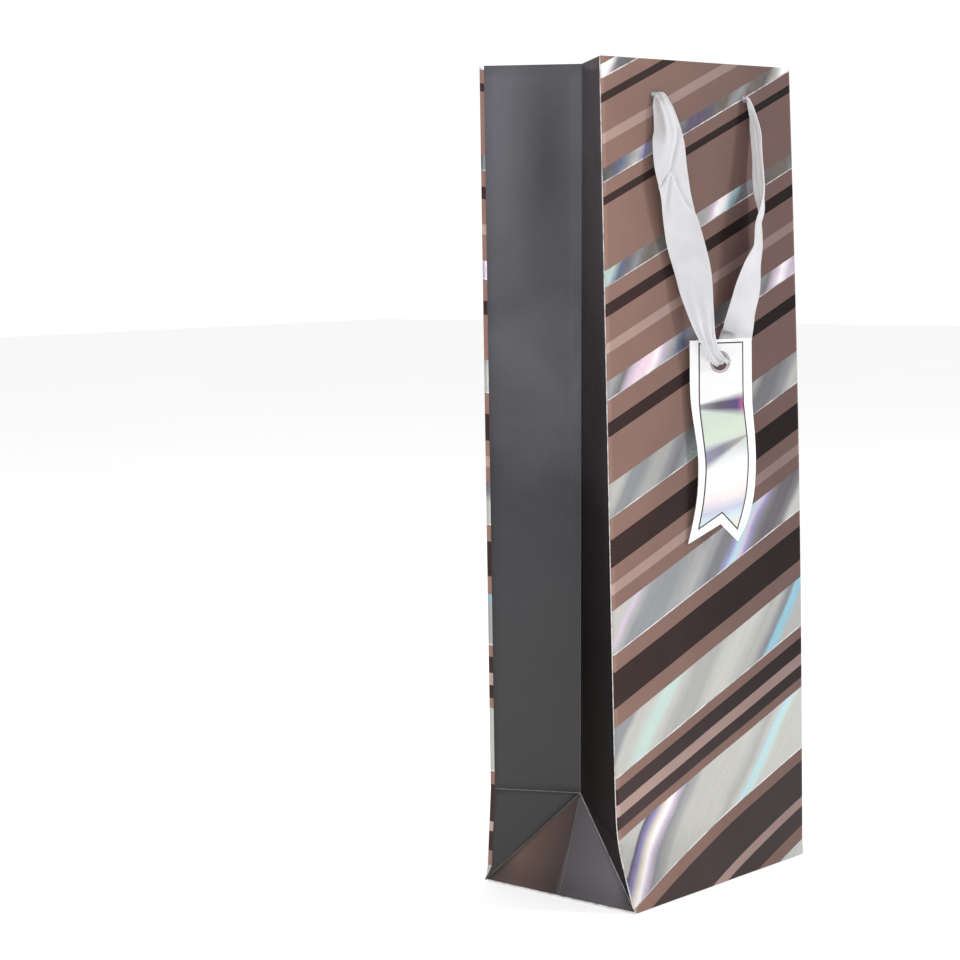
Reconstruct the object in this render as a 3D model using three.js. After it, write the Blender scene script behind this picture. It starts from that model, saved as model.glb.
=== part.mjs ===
import * as THREE from 'three';

// Paper wine gift bag, standing open on its base. Millimetres, +Z up, the front panel faces -Y.

// Driving dimensions
const BAG_W = 125;
const BAG_D = 85;
const BAG_H = 360;
const PAPER = 0.4;
const STIFFENER = 0.6;
const BOARD = 0.8;
const HEM_H = 30;
const SLIT = 0.5; // paper is set back this far from every crease

// The front edges stand further in than the base, more on the left than on the right.
const GUSSET_HALF = 42;
const ANGLE_LEFT = 37.3;
const ANGLE_RIGHT = 30;
const FOOT_TILT = 24;
const FOOT_ANGLE = 36;
const BACK_LEAN = 3; // the back stands this far in at the crease

const CREASE_Z = BAG_D / 2; // crease round the rear of the bag, level with the top of the feet
const KINK_Z = 30; // the front panel flares below this height
const FOOT_AXIS_Z = 2.1;
const STRIP_AXIS_Z = 3.4;

// Handles and tag
const HOLE_X = 30;
const HOLE_DROP = 15;
const HOLE_R = 2.75;
const STEM_R = 2.3;
const RIBBON_T = 0.6;
const TAG_HOLE = [-1.9, -44, 230.7];
const TAG_YAW = 28;
const TAG_T = 0.5;
const TAG_HOLE_R = 3.8;
const TAG_RING_R = 5;

// Derived sizes
const PANEL_STACK = PAPER + STIFFENER + PAPER;
const GUSSET_STACK = PAPER + PAPER;
const BACK_INNER_Y = BAG_D / 2 - BACK_LEAN - PANEL_STACK;
const LEAN = Math.atan2(BACK_LEAN, CREASE_Z);
const CORNER_X = BAG_W / 2 - GUSSET_STACK;
const UP = new THREE.Vector3(0, 0, 1);

const COLOURS = {
  stripe_paper: 0x8b6f6b,
  gusset_paper: 0x55535a,
  lining_paper: 0xf2f1ee,
  stiffener_card: 0xd9d4c8,
  base_card: 0xe6e3dc,
  satin_ribbon: 0xe4e4e8,
  tag_card: 0xfafafa,
  silver_foil: 0xc4c8cc,
};

const group = new THREE.Group();

function addPiece(name, slot, geometry) {
  const material = new THREE.MeshStandardMaterial({ color: COLOURS[slot], side: THREE.FrontSide });
  material.name = slot;
  const mesh = new THREE.Mesh(geometry, material);
  mesh.name = name;
  group.add(mesh);
}

function radians(degrees) {
  return (degrees * Math.PI) / 180;
}

function vec(x, y, z = 0) {
  return new THREE.Vector3(x, y, z);
}

function along(start, direction, distance) {
  return start.clone().addScaledVector(direction, distance);
}

// A flat sheet: outline points (u, v) in the plane at origin, from depth a to b along out.
function sheet(frame, outline, a, b, holes = []) {
  const shape = new THREE.Shape(outline.map(([u, v]) => new THREE.Vector2(u, v)));
  for (const [u, v, r] of holes) {
    shape.holes.push(new THREE.Path().absarc(u, v, r, 0, Math.PI * 2, true));
  }
  const normal = frame.u.clone().cross(frame.v).normalize();
  const facing = Math.sign(normal.dot(frame.out));
  const low = facing > 0 ? a : -b;
  const geometry = new THREE.ExtrudeGeometry(shape, {
    depth: b - a,
    bevelEnabled: false,
    curveSegments: 12,
  });
  const matrix = new THREE.Matrix4().makeBasis(frame.u, frame.v, normal);
  matrix.setPosition(along(frame.origin, normal, low));
  return geometry.applyMatrix4(matrix);
}

function rectangle(u0, u1, v0, v1) {
  return [[u0, v0], [u1, v0], [u1, v1], [u0, v1]];
}

// A solid between two matching loops of points: outer loop counter-clockwise seen from outside.
function plate(outer, inner) {
  const points = [...outer, ...inner];
  const n = outer.length;
  const index = [];
  for (let i = 1; i < n - 1; i += 1) {
    index.push(0, i, i + 1);
    index.push(n, n + i + 1, n + i);
  }
  for (let i = 0; i < n; i += 1) {
    const j = (i + 1) % n;
    index.push(i, n + i, n + j);
    index.push(i, n + j, j);
  }
  const geometry = new THREE.BufferGeometry();
  const flat = points.flatMap((p) => [p.x, p.y, p.z]);
  geometry.setAttribute('position', new THREE.Float32BufferAttribute(flat, 3));
  geometry.setIndex(index);
  geometry.computeVertexNormals();
  return geometry;
}

// Gusset cross-section: side is -1 for left and +1 for right.
function gussetLines(side, angle) {
  const s = Math.sin(radians(angle));
  const c = Math.cos(radians(angle));
  const rearAxis = vec(side * CORNER_X, BACK_INNER_Y);
  const rearDir = vec(-side * s, -c);
  const rearOut = vec(side * c, -s);
  const crease = along(along(rearAxis, rearDir, GUSSET_HALF), rearOut, GUSSET_STACK);
  const frontDir = vec(side * s, -c);
  const frontOut = vec(side * c, s);
  const frontAxis = along(along(crease, frontDir, GUSSET_HALF), frontOut, -GUSSET_STACK);
  return { side, rearAxis, rearDir, rearOut, crease, frontDir, frontOut, frontAxis };
}

const left = gussetLines(-1, ANGLE_LEFT);
const right = gussetLines(1, ANGLE_RIGHT);

// Base: folded flaps with a card laid on them
function buildBase() {
  const flat = { origin: vec(0, 0), u: vec(1, 0), v: vec(0, 1), out: UP };
  const x = BAG_W / 2 - 0.9;
  const y = BAG_D / 2 - 0.6;
  const side = x - 26;
  addPiece('bottom_outer_flap', 'gusset_paper', sheet(flat, rectangle(-x, x, -y, y), 0, PAPER));
  addPiece('bottom_inner_flap', 'lining_paper',
    sheet(flat, rectangle(-x + 1, x - 1, -y, 14), PAPER, 2 * PAPER));
  for (const s of [-1, 1]) {
    const outline = [[s * x, -y], [s * x, y], [s * side, y - 24], [s * side, -y + 24]];
    addPiece(`bottom_side_flap_${s < 0 ? 'left' : 'right'}`, 'lining_paper',
      sheet(flat, s > 0 ? outline : outline.reverse(), 2 * PAPER, 3 * PAPER));
  }
  addPiece('base_board', 'base_card',
    sheet(flat, rectangle(-x + 1, x - 1, -y + 1, y - 1), 3 * PAPER, 3 * PAPER + BOARD));
}

// The strip of the back below the level crease leans in from the base
const stripPlane = {
  origin: vec(0, BAG_D / 2),
  u: vec(1, 0),
  v: vec(0, -Math.sin(LEAN), Math.cos(LEAN)),
  out: vec(0, Math.cos(LEAN), Math.sin(LEAN)),
};

function buildStrip() {
  const half = BAG_W / 2 - 0.2;
  addPiece('back_lower_panel', 'stripe_paper',
    sheet(stripPlane, rectangle(-half, half, 0.1, CREASE_Z - SLIT), -PAPER, 0));
}

// Feet: the inward-leaning triangles between the base and each gusset crease
function buildFeet(side, sideName) {
  const s = Math.sin(radians(FOOT_TILT));
  const c = Math.cos(radians(FOOT_TILT));
  const foot = {
    origin: vec(side * (BAG_W / 2 - PAPER), 0, FOOT_AXIS_Z),
    u: vec(0, 1),
    v: vec(-side * s, 0, c),
    out: vec(side * c, 0, s),
  };
  const half = BAG_D / 2;
  addPiece(`gusset_${sideName}_foot`, 'gusset_paper',
    sheet(foot, [[-half + 1.8, 0.2], [half - 1.8, 0.2], [0, half - 1.6]], 0, PAPER));

  const turn = radians(FOOT_ANGLE);
  const wing = vec(-side * Math.sin(turn), 0).addScaledVector(stripPlane.out, -Math.cos(turn));
  const rear = {
    origin: along(vec(side * CORNER_X, BAG_D / 2), stripPlane.out, -PAPER),
    u: wing,
    v: stripPlane.v,
    out: vec(side * Math.cos(turn), 0).addScaledVector(stripPlane.out, -Math.sin(turn)),
  };
  const top = CREASE_Z - SLIT;
  const low = STRIP_AXIS_Z + 0.6;
  addPiece(`gusset_${sideName}_rear_foot`, 'gusset_paper',
    sheet(rear, [[SLIT, low], [top - low, top], [SLIT, top]], 0, PAPER));
}

// Gussets: a rear and a front half meeting at a crease that points into the bag
function buildGusset(lines, sideName) {
  const rear = { origin: lines.rearAxis, u: lines.rearDir, v: UP, out: lines.rearOut };
  const front = { origin: lines.crease, u: lines.frontDir, v: UP, out: lines.frontOut };
  const end = GUSSET_HALF - SLIT;
  addPiece(`gusset_${sideName}_rear`, 'gusset_paper',
    sheet(rear, rectangle(SLIT, end, CREASE_Z + SLIT, BAG_H), PAPER, GUSSET_STACK));
  addPiece(`gusset_${sideName}_rear_hem`, 'lining_paper',
    sheet(rear, rectangle(SLIT + 0.5, end - 0.5, BAG_H - HEM_H, BAG_H), 0, PAPER));
  const outline = [[SLIT, CREASE_Z + SLIT], [end, KINK_Z + SLIT], [end, BAG_H], [SLIT, BAG_H]];
  addPiece(`gusset_${sideName}_front`, 'gusset_paper', sheet(front, outline, -PAPER, 0));
  addPiece(`gusset_${sideName}_front_hem`, 'lining_paper',
    sheet(front, rectangle(SLIT + 0.5, end - 0.5, BAG_H - HEM_H, BAG_H), -GUSSET_STACK, -PAPER));
}

// The small triangle that turns from the gusset's front half out to the base corner
function buildFrontFoot(lines, sideName) {
  const top = along(lines.crease, UP, CREASE_Z);
  const kink = along(along(lines.frontAxis, lines.frontOut, GUSSET_STACK), UP, KINK_Z);
  const corner = vec(lines.side * (BAG_W / 2 - 1.1), -BAG_D / 2 + 1.1, 0.8);
  const centre = top.clone().add(kink).add(corner).divideScalar(3);
  const loop = [top, kink, corner].map((p) => p.clone().lerp(centre, 0.075));
  const normal = loop[1].clone().sub(loop[0]).cross(loop[2].clone().sub(loop[0])).normalize();
  if (normal.x * lines.side < 0) {
    loop.reverse();
    normal.negate();
  }
  const inner = loop.map((p) => along(p, normal, -PAPER));
  addPiece(`gusset_${sideName}_front_foot`, 'gusset_paper', plate(loop, inner));
}

// A panel's plane, measured from its right-hand hinge line at the hem's inner face
const panelDir = left.frontAxis.clone().sub(right.frontAxis);
const panelSpan = panelDir.length();
panelDir.normalize();
const frontPlane = {
  origin: right.frontAxis,
  u: panelDir,
  v: UP,
  out: vec(-panelDir.y, panelDir.x),
};
const backPlane = {
  origin: right.rearAxis,
  u: vec(-1, 0),
  v: UP,
  out: vec(0, 1),
};

function buildPanel(plane, span, bottom, sideName) {
  const edge = GUSSET_STACK;
  const holeZ = BAG_H - HOLE_DROP;
  const holes = [-1, 1].map((s) => [span / 2 + s * HOLE_X, holeZ, HOLE_R]);
  const face = rectangle(-edge, span + edge, bottom, BAG_H);
  addPiece(`${sideName}_panel`, 'stripe_paper',
    sheet(plane, face, PAPER + STIFFENER, PANEL_STACK, holes));
  addPiece(`${sideName}_stiffener`, 'stiffener_card',
    sheet(plane, rectangle(1.5, span - 1.5, BAG_H - HEM_H + 2, BAG_H - 0.6), PAPER,
      PAPER + STIFFENER, holes));
  addPiece(`${sideName}_hem`, 'lining_paper',
    sheet(plane, rectangle(0.6, span - 0.6, BAG_H - HEM_H, BAG_H), 0, PAPER, holes));
}

// Flattened ribbon knot inside the panel, with the neck that fills the punched hole
function buildKnots(plane, span, sideName) {
  for (const s of [-1, 1]) {
    const points = [
      [0, -3.4], [5, -3.4], [6.2, -2.4], [6.2, -1.1], [5.2, -0.2], [STEM_R, -0.2],
      [STEM_R, PANEL_STACK - 0.1], [0, PANEL_STACK - 0.1],
    ].map(([r, h]) => new THREE.Vector2(r, h));
    const geometry = new THREE.LatheGeometry(points, 20);
    const turn = new THREE.Quaternion().setFromUnitVectors(vec(0, 1, 0), plane.out);
    const centre = along(along(plane.origin, plane.u, span / 2 + s * HOLE_X), UP, BAG_H - HOLE_DROP);
    geometry.applyQuaternion(turn).translate(centre.x, centre.y, centre.z);
    const sideWord = (s > 0) === (plane.u.x < 0) ? 'left' : 'right';
    addPiece(`${sideName}_knot_${sideWord}`, 'satin_ribbon', geometry);
  }
}

// Seam where the paper is glued into a tube, inside the back panel
function buildSeam() {
  addPiece('side_seam_flap', 'lining_paper',
    sheet(backPlane, rectangle(1.5, 15, CREASE_Z + 4, BAG_H - HEM_H - 1), STIFFENER,
      PAPER + STIFFENER));
}

// The front below the kink flares out to the edge of the base
function buildFrontLower() {
  const outer = (u) => along(along(frontPlane.origin, panelDir, u), frontPlane.out, PANEL_STACK);
  const topRight = along(outer(-GUSSET_STACK), UP, KINK_Z - SLIT);
  const topLeft = along(outer(panelSpan + GUSSET_STACK), UP, KINK_Z - SLIT);
  const bottomLeft = vec(-BAG_W / 2, -BAG_D / 2, 0.1);
  const bottomRight = vec(BAG_W / 2, -BAG_D / 2, 0.1);
  const loop = [bottomLeft, bottomRight, topRight, topLeft];
  const inward = vec(0, PAPER);
  addPiece('front_lower_panel', 'stripe_paper', plate(loop, loop.map((p) => p.clone().add(inward))));
}

// A ribbon swept through stations of [centre, width, direction of its width]
function ribbonLoop(name, stations) {
  const centres = new THREE.CatmullRomCurve3(stations.map((s) => s.at), false, 'centripetal');
  const steps = 72;
  const loops = [];
  for (let i = 0; i <= steps; i += 1) {
    const t = i / steps;
    const k = Math.min(Math.floor(t * (stations.length - 1)), stations.length - 2);
    const f = t * (stations.length - 1) - k;
    const ease = f * f * (3 - 2 * f);
    const [from, to] = [stations[k], stations[k + 1]];
    const width = THREE.MathUtils.lerp(from.width, to.width, ease);
    const thick = THREE.MathUtils.lerp(from.thick, to.thick, ease);
    const centre = centres.getPoint(t);
    const tangent = centres.getTangent(t);
    const wide = from.wide.clone().lerp(to.wide, ease);
    wide.addScaledVector(tangent, -wide.dot(tangent)).normalize();
    const normal = wide.clone().cross(tangent).normalize();
    const corner = (a, b) => along(along(centre, wide, (a * width) / 2), normal, (b * thick) / 2);
    loops.push([corner(-1, -1), corner(1, -1), corner(1, 1), corner(-1, 1)]);
  }
  const flat = loops.flat().flatMap((p) => [p.x, p.y, p.z]);
  const index = [];
  for (let i = 0; i < steps; i += 1) {
    for (let j = 0; j < 4; j += 1) {
      const a = i * 4 + j;
      const b = i * 4 + ((j + 1) % 4);
      index.push(a, b + 4, b, a, a + 4, b + 4);
    }
  }
  const last = steps * 4;
  index.push(0, 1, 2, 0, 2, 3, last, last + 2, last + 1, last, last + 3, last + 2);
  const geometry = new THREE.BufferGeometry();
  geometry.setAttribute('position', new THREE.Float32BufferAttribute(flat, 3));
  geometry.setIndex(index);
  geometry.computeVertexNormals();
  addPiece(name, 'satin_ribbon', geometry);
}

function buildFrontHandle() {
  const faceY = (x) => {
    const u = (right.frontAxis.x - x) / -panelDir.x;
    return right.frontAxis.y + panelDir.y * u - PANEL_STACK;
  };
  const [hx, hy, hz] = TAG_HOLE;
  const nx = -Math.sin(radians(TAG_YAW));
  const ny = -Math.cos(radians(TAG_YAW));
  const top = BAG_H - HOLE_DROP;
  const at = (x, y, z, width, turn, thick = RIBBON_T) => {
    return { at: vec(x, y, z), width, wide: vec(Math.cos(radians(turn)), Math.sin(radians(turn))), thick };
  };
  ribbonLoop('front_ribbon_handle', [
    at(-HOLE_X, faceY(-HOLE_X) - 1.3, top, 6, -3),
    at(-28.4, -37, 330, 12, -18),
    at(-28, -38.4, 314, 16, -20),
    at(-24.6, -39.4, 298, 16, -14),
    at(-20.2, -40.4, 281, 16, -40),
    at(-15.6, -41.2, 266, 15.5, -28),
    at(-12.2, -42.4, 251, 12, -27),
    at(hx + nx * 4 - 5, hy + ny * 4 + 2.4, hz + 7, 6, -28, 0.9),
    at(hx + nx * 2.6, hy + ny * 2.6, hz - 0.8, 3.4, -28, 1.4),
    at(hx, hy, hz - 2, 3.4, -28, 1.4),
    at(hx - nx * 2.6, hy - ny * 2.6, hz - 0.8, 3.4, -28, 1.4),
    at(hx - nx * 4 + 5, hy - ny * 4 - 2, hz + 7, 7, -26, 0.9),
    at(14.4, -42.5, 245, 14.5, -20),
    at(19, -43.4, 259, 16, -6),
    at(24, -44.2, 273, 16, 8),
    at(26.6, -45, 287, 15, 24),
    at(28.2, -44.6, 302, 13.5, 44),
    at(28.8, -42.6, 317, 12, 46),
    at(30.4, -39.4, 333, 8.5, 16),
    at(HOLE_X, faceY(HOLE_X) - 1.3, top, 6, -3),
  ]);
}

function buildBackHandle() {
  const y = BAG_D / 2 - BACK_LEAN + 1.3;
  const top = BAG_H - HOLE_DROP;
  const at = (x, dy, z, width, wx, wz) => {
    return { at: vec(x, y + dy, z), width, wide: vec(wx, 0, wz), thick: RIBBON_T };
  };
  ribbonLoop('back_ribbon_handle', [
    at(HOLE_X, 0, top, 6, -1, 0),
    at(30.5, 2.2, 333, 11, -1, 0),
    at(30.5, 3.6, 310, 16, -1, 0),
    at(27.5, 3.8, 284, 16, -1, 0.3),
    at(18, 4, 258, 16, -0.8, 0.6),
    at(0, 4.2, 246, 16, 0, 1),
    at(-18, 4, 258, 16, 0.8, 0.6),
    at(-27.5, 3.8, 284, 16, 1, 0.3),
    at(-30.5, 3.6, 310, 16, 1, 0),
    at(-30.5, 2.2, 333, 11, 1, 0),
    at(-HOLE_X, 0, top, 6, 1, 0),
  ]);
}

// Gift tag: a wavy pennant with a swallow-tail, and a foil face set in from its border
function buildTag() {
  const yaw = radians(TAG_YAW);
  const plane = {
    origin: vec(...TAG_HOLE),
    u: vec(Math.cos(yaw), -Math.sin(yaw)),
    v: UP,
    out: vec(-Math.sin(yaw), -Math.cos(yaw)),
  };
  const card = [
    [-14.3, 9.6], [-14.3, -2], [-14.2, -14], [-13, -24.4], [-11, -37], [-10.6, -46.5], [-11.2, -57.4],
    [-13.2, -68.3], [-15.8, -78.5], [-0.2, -70.6], [8, -78.6], [12.3, -71], [15, -63], [16.5, -54.2],
    [17, -42.4], [16.5, -31.2], [15.4, -18.4], [15.2, -4], [15.2, 10],
  ];
  const foil = [
    [-9.7, 7.9], [-9.7, -5], [-9.7, -18], [-8.2, -30.7], [-6.9, -41.7], [-6.9, -49.5], [-8.2, -61.3],
    [-10.4, -71.6], [0.6, -65.2], [7.7, -72.6], [10.6, -63.2], [12.3, -54.4], [13, -42.4],
    [12.3, -31.2], [10.8, -18.4], [10.6, -4], [10.6, 8],
  ];
  addPiece('tag_card', 'tag_card', sheet(plane, card, -TAG_T / 2, TAG_T / 2, [[0, 0, TAG_HOLE_R]]));
  const foilTop = TAG_T / 2 + 0.1;
  addPiece('tag_foil_face', 'silver_foil', sheet(plane, foil, TAG_T / 2, foilTop, [[0, 0, TAG_RING_R]]));
}

buildBase();
buildStrip();
buildFeet(-1, 'left');
buildFeet(1, 'right');
buildGusset(left, 'left');
buildGusset(right, 'right');
buildFrontFoot(left, 'left');
buildFrontFoot(right, 'right');
buildPanel(backPlane, 2 * CORNER_X, CREASE_Z + SLIT, 'back');
buildPanel(frontPlane, panelSpan, KINK_Z + SLIT, 'front');
buildFrontLower();
buildSeam();
buildKnots(backPlane, 2 * CORNER_X, 'back');
buildKnots(frontPlane, panelSpan, 'front');
buildFrontHandle();
buildBackHandle();
buildTag();

export default group;
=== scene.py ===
"""Looks of a paper wine gift bag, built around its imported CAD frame. Metres, +Z up."""

import math

import bmesh
import bpy
import numpy as np
from mathutils import Matrix, Vector


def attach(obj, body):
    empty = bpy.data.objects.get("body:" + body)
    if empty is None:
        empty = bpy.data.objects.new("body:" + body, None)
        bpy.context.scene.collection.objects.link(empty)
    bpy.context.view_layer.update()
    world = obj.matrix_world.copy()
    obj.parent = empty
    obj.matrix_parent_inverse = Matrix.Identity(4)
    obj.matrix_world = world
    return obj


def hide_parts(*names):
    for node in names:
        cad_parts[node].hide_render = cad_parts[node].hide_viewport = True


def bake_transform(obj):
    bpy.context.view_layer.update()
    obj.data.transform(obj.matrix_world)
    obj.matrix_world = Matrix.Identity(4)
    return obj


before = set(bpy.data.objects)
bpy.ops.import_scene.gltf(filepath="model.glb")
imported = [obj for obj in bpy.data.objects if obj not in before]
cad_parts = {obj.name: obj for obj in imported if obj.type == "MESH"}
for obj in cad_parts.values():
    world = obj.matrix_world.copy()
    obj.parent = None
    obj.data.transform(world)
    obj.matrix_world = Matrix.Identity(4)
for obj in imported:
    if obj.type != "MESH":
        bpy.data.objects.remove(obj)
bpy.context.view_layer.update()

MM = 0.001

# The bag, in millimetres. x runs to the right, y to the back and z up.
BAG_H = 360.0
HALF_W = 63.0
HALF_D = 42.4
FRONT_LEFT_TOP = -28.8
FRONT_LEFT_KINK = -33.1
FRONT_RIGHT_TOP = -37.0
FRONT_RIGHT_BOW = 1.8
FRONT_FOOT = -42.6
KINK_Z = 29.0
KINK_SOFTNESS = 8.0
BACK_Y = 39.5
BACK_FOOT = 42.5
CREASE_Z = 42.3
PAPER = 0.4
FOLD_PAPER = 0.3
STIFFENER = 0.6
HEM_H = 30.0
FOLD = 2.0
FOLD_LIP = {-1: 0.9, 1: 2.8}  # front and back
HOLE_X = 30.0
HOLE_Z = 345.0
HOLE_R = 1.7
FRONT_BULGE = 0.3
BACK_BULGE = 1.4
GUSSET_BULGE = 0.8
FOOT_DENT = 0.2
FLOOR_Z = 0.4
BASE_X = HALF_W - 0.3
FOOT_START = 0.03
HEM_INSET = 8.0
FRONT_RIPPLE = 0.12
LOW_Z = 0.1  # the panels' lowest row
HEM_LOW = BAG_H - HEM_H

# Where the paper bends between two bodies: the reach on each side of a corner fold and of a gusset
# crease, the height of the corner bends' points, and both ends of the bends at the kink and the
# back crease
CORNER_BEND = 1.6
CREASE_BEND = 1.2
MIDDLE_Z = 200.0
FRONT_BEND = ((0, -36, 36), (0, -36, 24))
BACK_BEND = ((0, 39, 39.5), (0, 39, 45.0))
HOLES = [(-HOLE_X, HOLE_Z), (HOLE_X, HOLE_Z)]
SIDES = ("left", "right")

# Ribbons, knots and tag, in millimetres. The tag's own axes are TAG_U across its face and TAG_OUT
# out of it, and its height is the third.
RIBBON_W = 16.0
RIBBON_THICK = 0.22
PICOT = 1.1
PICOT_REACH = 0.2
KNOT_R = 1.107
KNOT_INSET = 1.4
NECK_R = 1.4
TAG_HALF = 0.25
FOIL_OUT = 0.33
TAG_HOLE = np.array([-1.9, -44.0, 230.7])
TAG_YAW = math.radians(28)
TAG_U = np.array([math.cos(TAG_YAW), -math.sin(TAG_YAW), 0.0])
TAG_OUT = np.array([-math.sin(TAG_YAW), -math.cos(TAG_YAW), 0.0])
TAG_HOLE_R = 3.8
TAG_RING_R = 5.0

# Each side's gusset crease: its top, and the apex over the foot
CREASES = {
    "left": (np.array([-35.0, 4.1, BAG_H]), np.array([-45.1, 1.6, CREASE_Z])),
    "right": (np.array([41.2, 1.3, BAG_H]), np.array([45.0, 0.5, CREASE_Z])),
}

# Printed bands: kind, height of the upper edge at the left fold, and width measured upright.
# The left fold is PRINT_X from the middle.
PRINT_X = 62.5
BANDS = [
    ("foil", 356.4, 5.9),
    ("dark", 344.2, 3.6),
    ("light", 327.9, 4.4),
    ("foil", 313.6, 5.9),
    ("dark", 301.8, 3.5),
    ("foil", 271.2, 7.0),
    ("dark", 257.3, 5.4),
    ("light", 241.0, 4.4),
    ("foil", 225.2, 8.1),
    ("dark", 207.8, 6.1),
    ("foil", 182.0, 14.5),
    ("dark", 158.4, 11.8),
    ("light", 139.6, 4.7),
    ("foil", 128.3, 19.0),
    ("dark", 102.0, 15.5),
    ("foil", 78.5, 21.8),
    ("dark", 51.9, 6.9),
    ("light", 45.0, 5.1),
    ("dark", 39.9, 5.5),
    ("foil", 30.3, 28.5),
    ("dark", -4.0, 17.0),
    ("light", -21.0, 4.4),
    ("dark", -25.4, 9.0),
    ("foil", -41.0, 30.0),
]
BAND_RISE = 0.408
BAND_RISE_FOOT = 0.387
RISE_TURN_Z = 70.0
RISE_TURN_SPAN = 40.0
# FOIL_EDGE is the width of the painted highlight along each foil band's lower edge
FOIL_EDGE = 0.45

# Tones of the holographic foil's painted reflections, highlight streaks and rainbow glints, before the
# gain
FOIL_GAIN = 0.82
FOIL_REFLECTED_TONES = {
    "plum": (100, 90, 112),
    "dim": (106, 101, 105),
    "sand": (117, 108, 98),
    "grey": (127, 126, 130),
    "blue": (108, 118, 148),
    "ash": (150, 152, 156),
    "violet": (152, 148, 192),
    "silver": (176, 176, 174),
    "pearl": (199, 198, 193),
    "mint": (200, 220, 214),
    "teal": (146, 192, 210),
    "cyan": (184, 222, 234),
    "lilac": (218, 200, 220),
    "cream": (234, 222, 205),
    "rose": (262, 232, 246),
    "white": (270, 265, 267),
}

# How the painted reflections follow each other along every foil band: places in mm across the panel.
# FOIL_LEAN sets how far each band's painted highlight streaks lean, and 0 would be upright.
FOIL_RUNS = [
    "-60 white -54 grey -48 dim 40 dim",
    "-60 dim -54 blue -48 ash -42 pearl -36 violet -28 silver -14 grey -8 plum 0 plum 7 dim 18 sand"
    " 27 ash 34 sand 46 dim 54 pearl 60 white",
    "-60 mint -54 blue -48 grey -42 ash -34 sand -22 grey -4 silver 2 silver 6 lilac 10 white 14 white"
    " 19 cyan 24 grey 32 grey 42 dim 50 sand 56 sand 61 grey",
    "-60 silver -54 grey -49 lilac -43 rose -39 rose -34 white -29 lilac -23 silver -17 blue -11 grey"
    " 4 dim 12 grey 30 silver 41 grey 47 lilac 53 white 60 lilac",
    "-61 pearl -54 ash -46 ash -38 silver -31 silver -25 ash -19 grey -12 ash -3 mint 10 mint 20 grey"
    " 27 silver 34 grey 45 grey 53 ash 61 pearl",
    "-62 pearl -57 lilac -51 silver -45 ash -37 ash -28 ash -8 silver 0 ash 5 grey 12 grey"
    " 17 violet 22 cyan 27 lilac 31 violet 36 grey 42 dim 50 dim 57 grey 62 pearl",
    "-62 ash -57 pearl -49 pearl -41 mint -35 mint -29 pearl -20 silver -5 silver 6 pearl 20 pearl"
    " 30 silver 37 silver 41 ash 45 grey 48 teal 53 teal 58 silver 62 silver",
    "-62 pearl -60 plum -54 violet -49 cream -44 white -39 lilac -33 ash -25 silver -19 pearl -5 pearl"
    " 15 pearl 26 silver 33 pearl 37 cyan 43 mint 48 pearl 62 pearl",
    "-60 pearl 0 silver 60 pearl",
]
FOIL_LEAN = [0.7, 0.7, 0.7, 0.7, 0.9, 1.0, 1.05, 1.2, 1.3]
FOIL_BANDS = [(top, width) for kind, top, width in BANDS if kind == "foil"]
FOILS = [f"foil_{k}" for k in range(len(FOIL_BANDS))]
PRINTS = ["mauve", "dark", "light", "foil_edge", *FOILS]


# ---------------------------------------------------------------- materials


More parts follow.
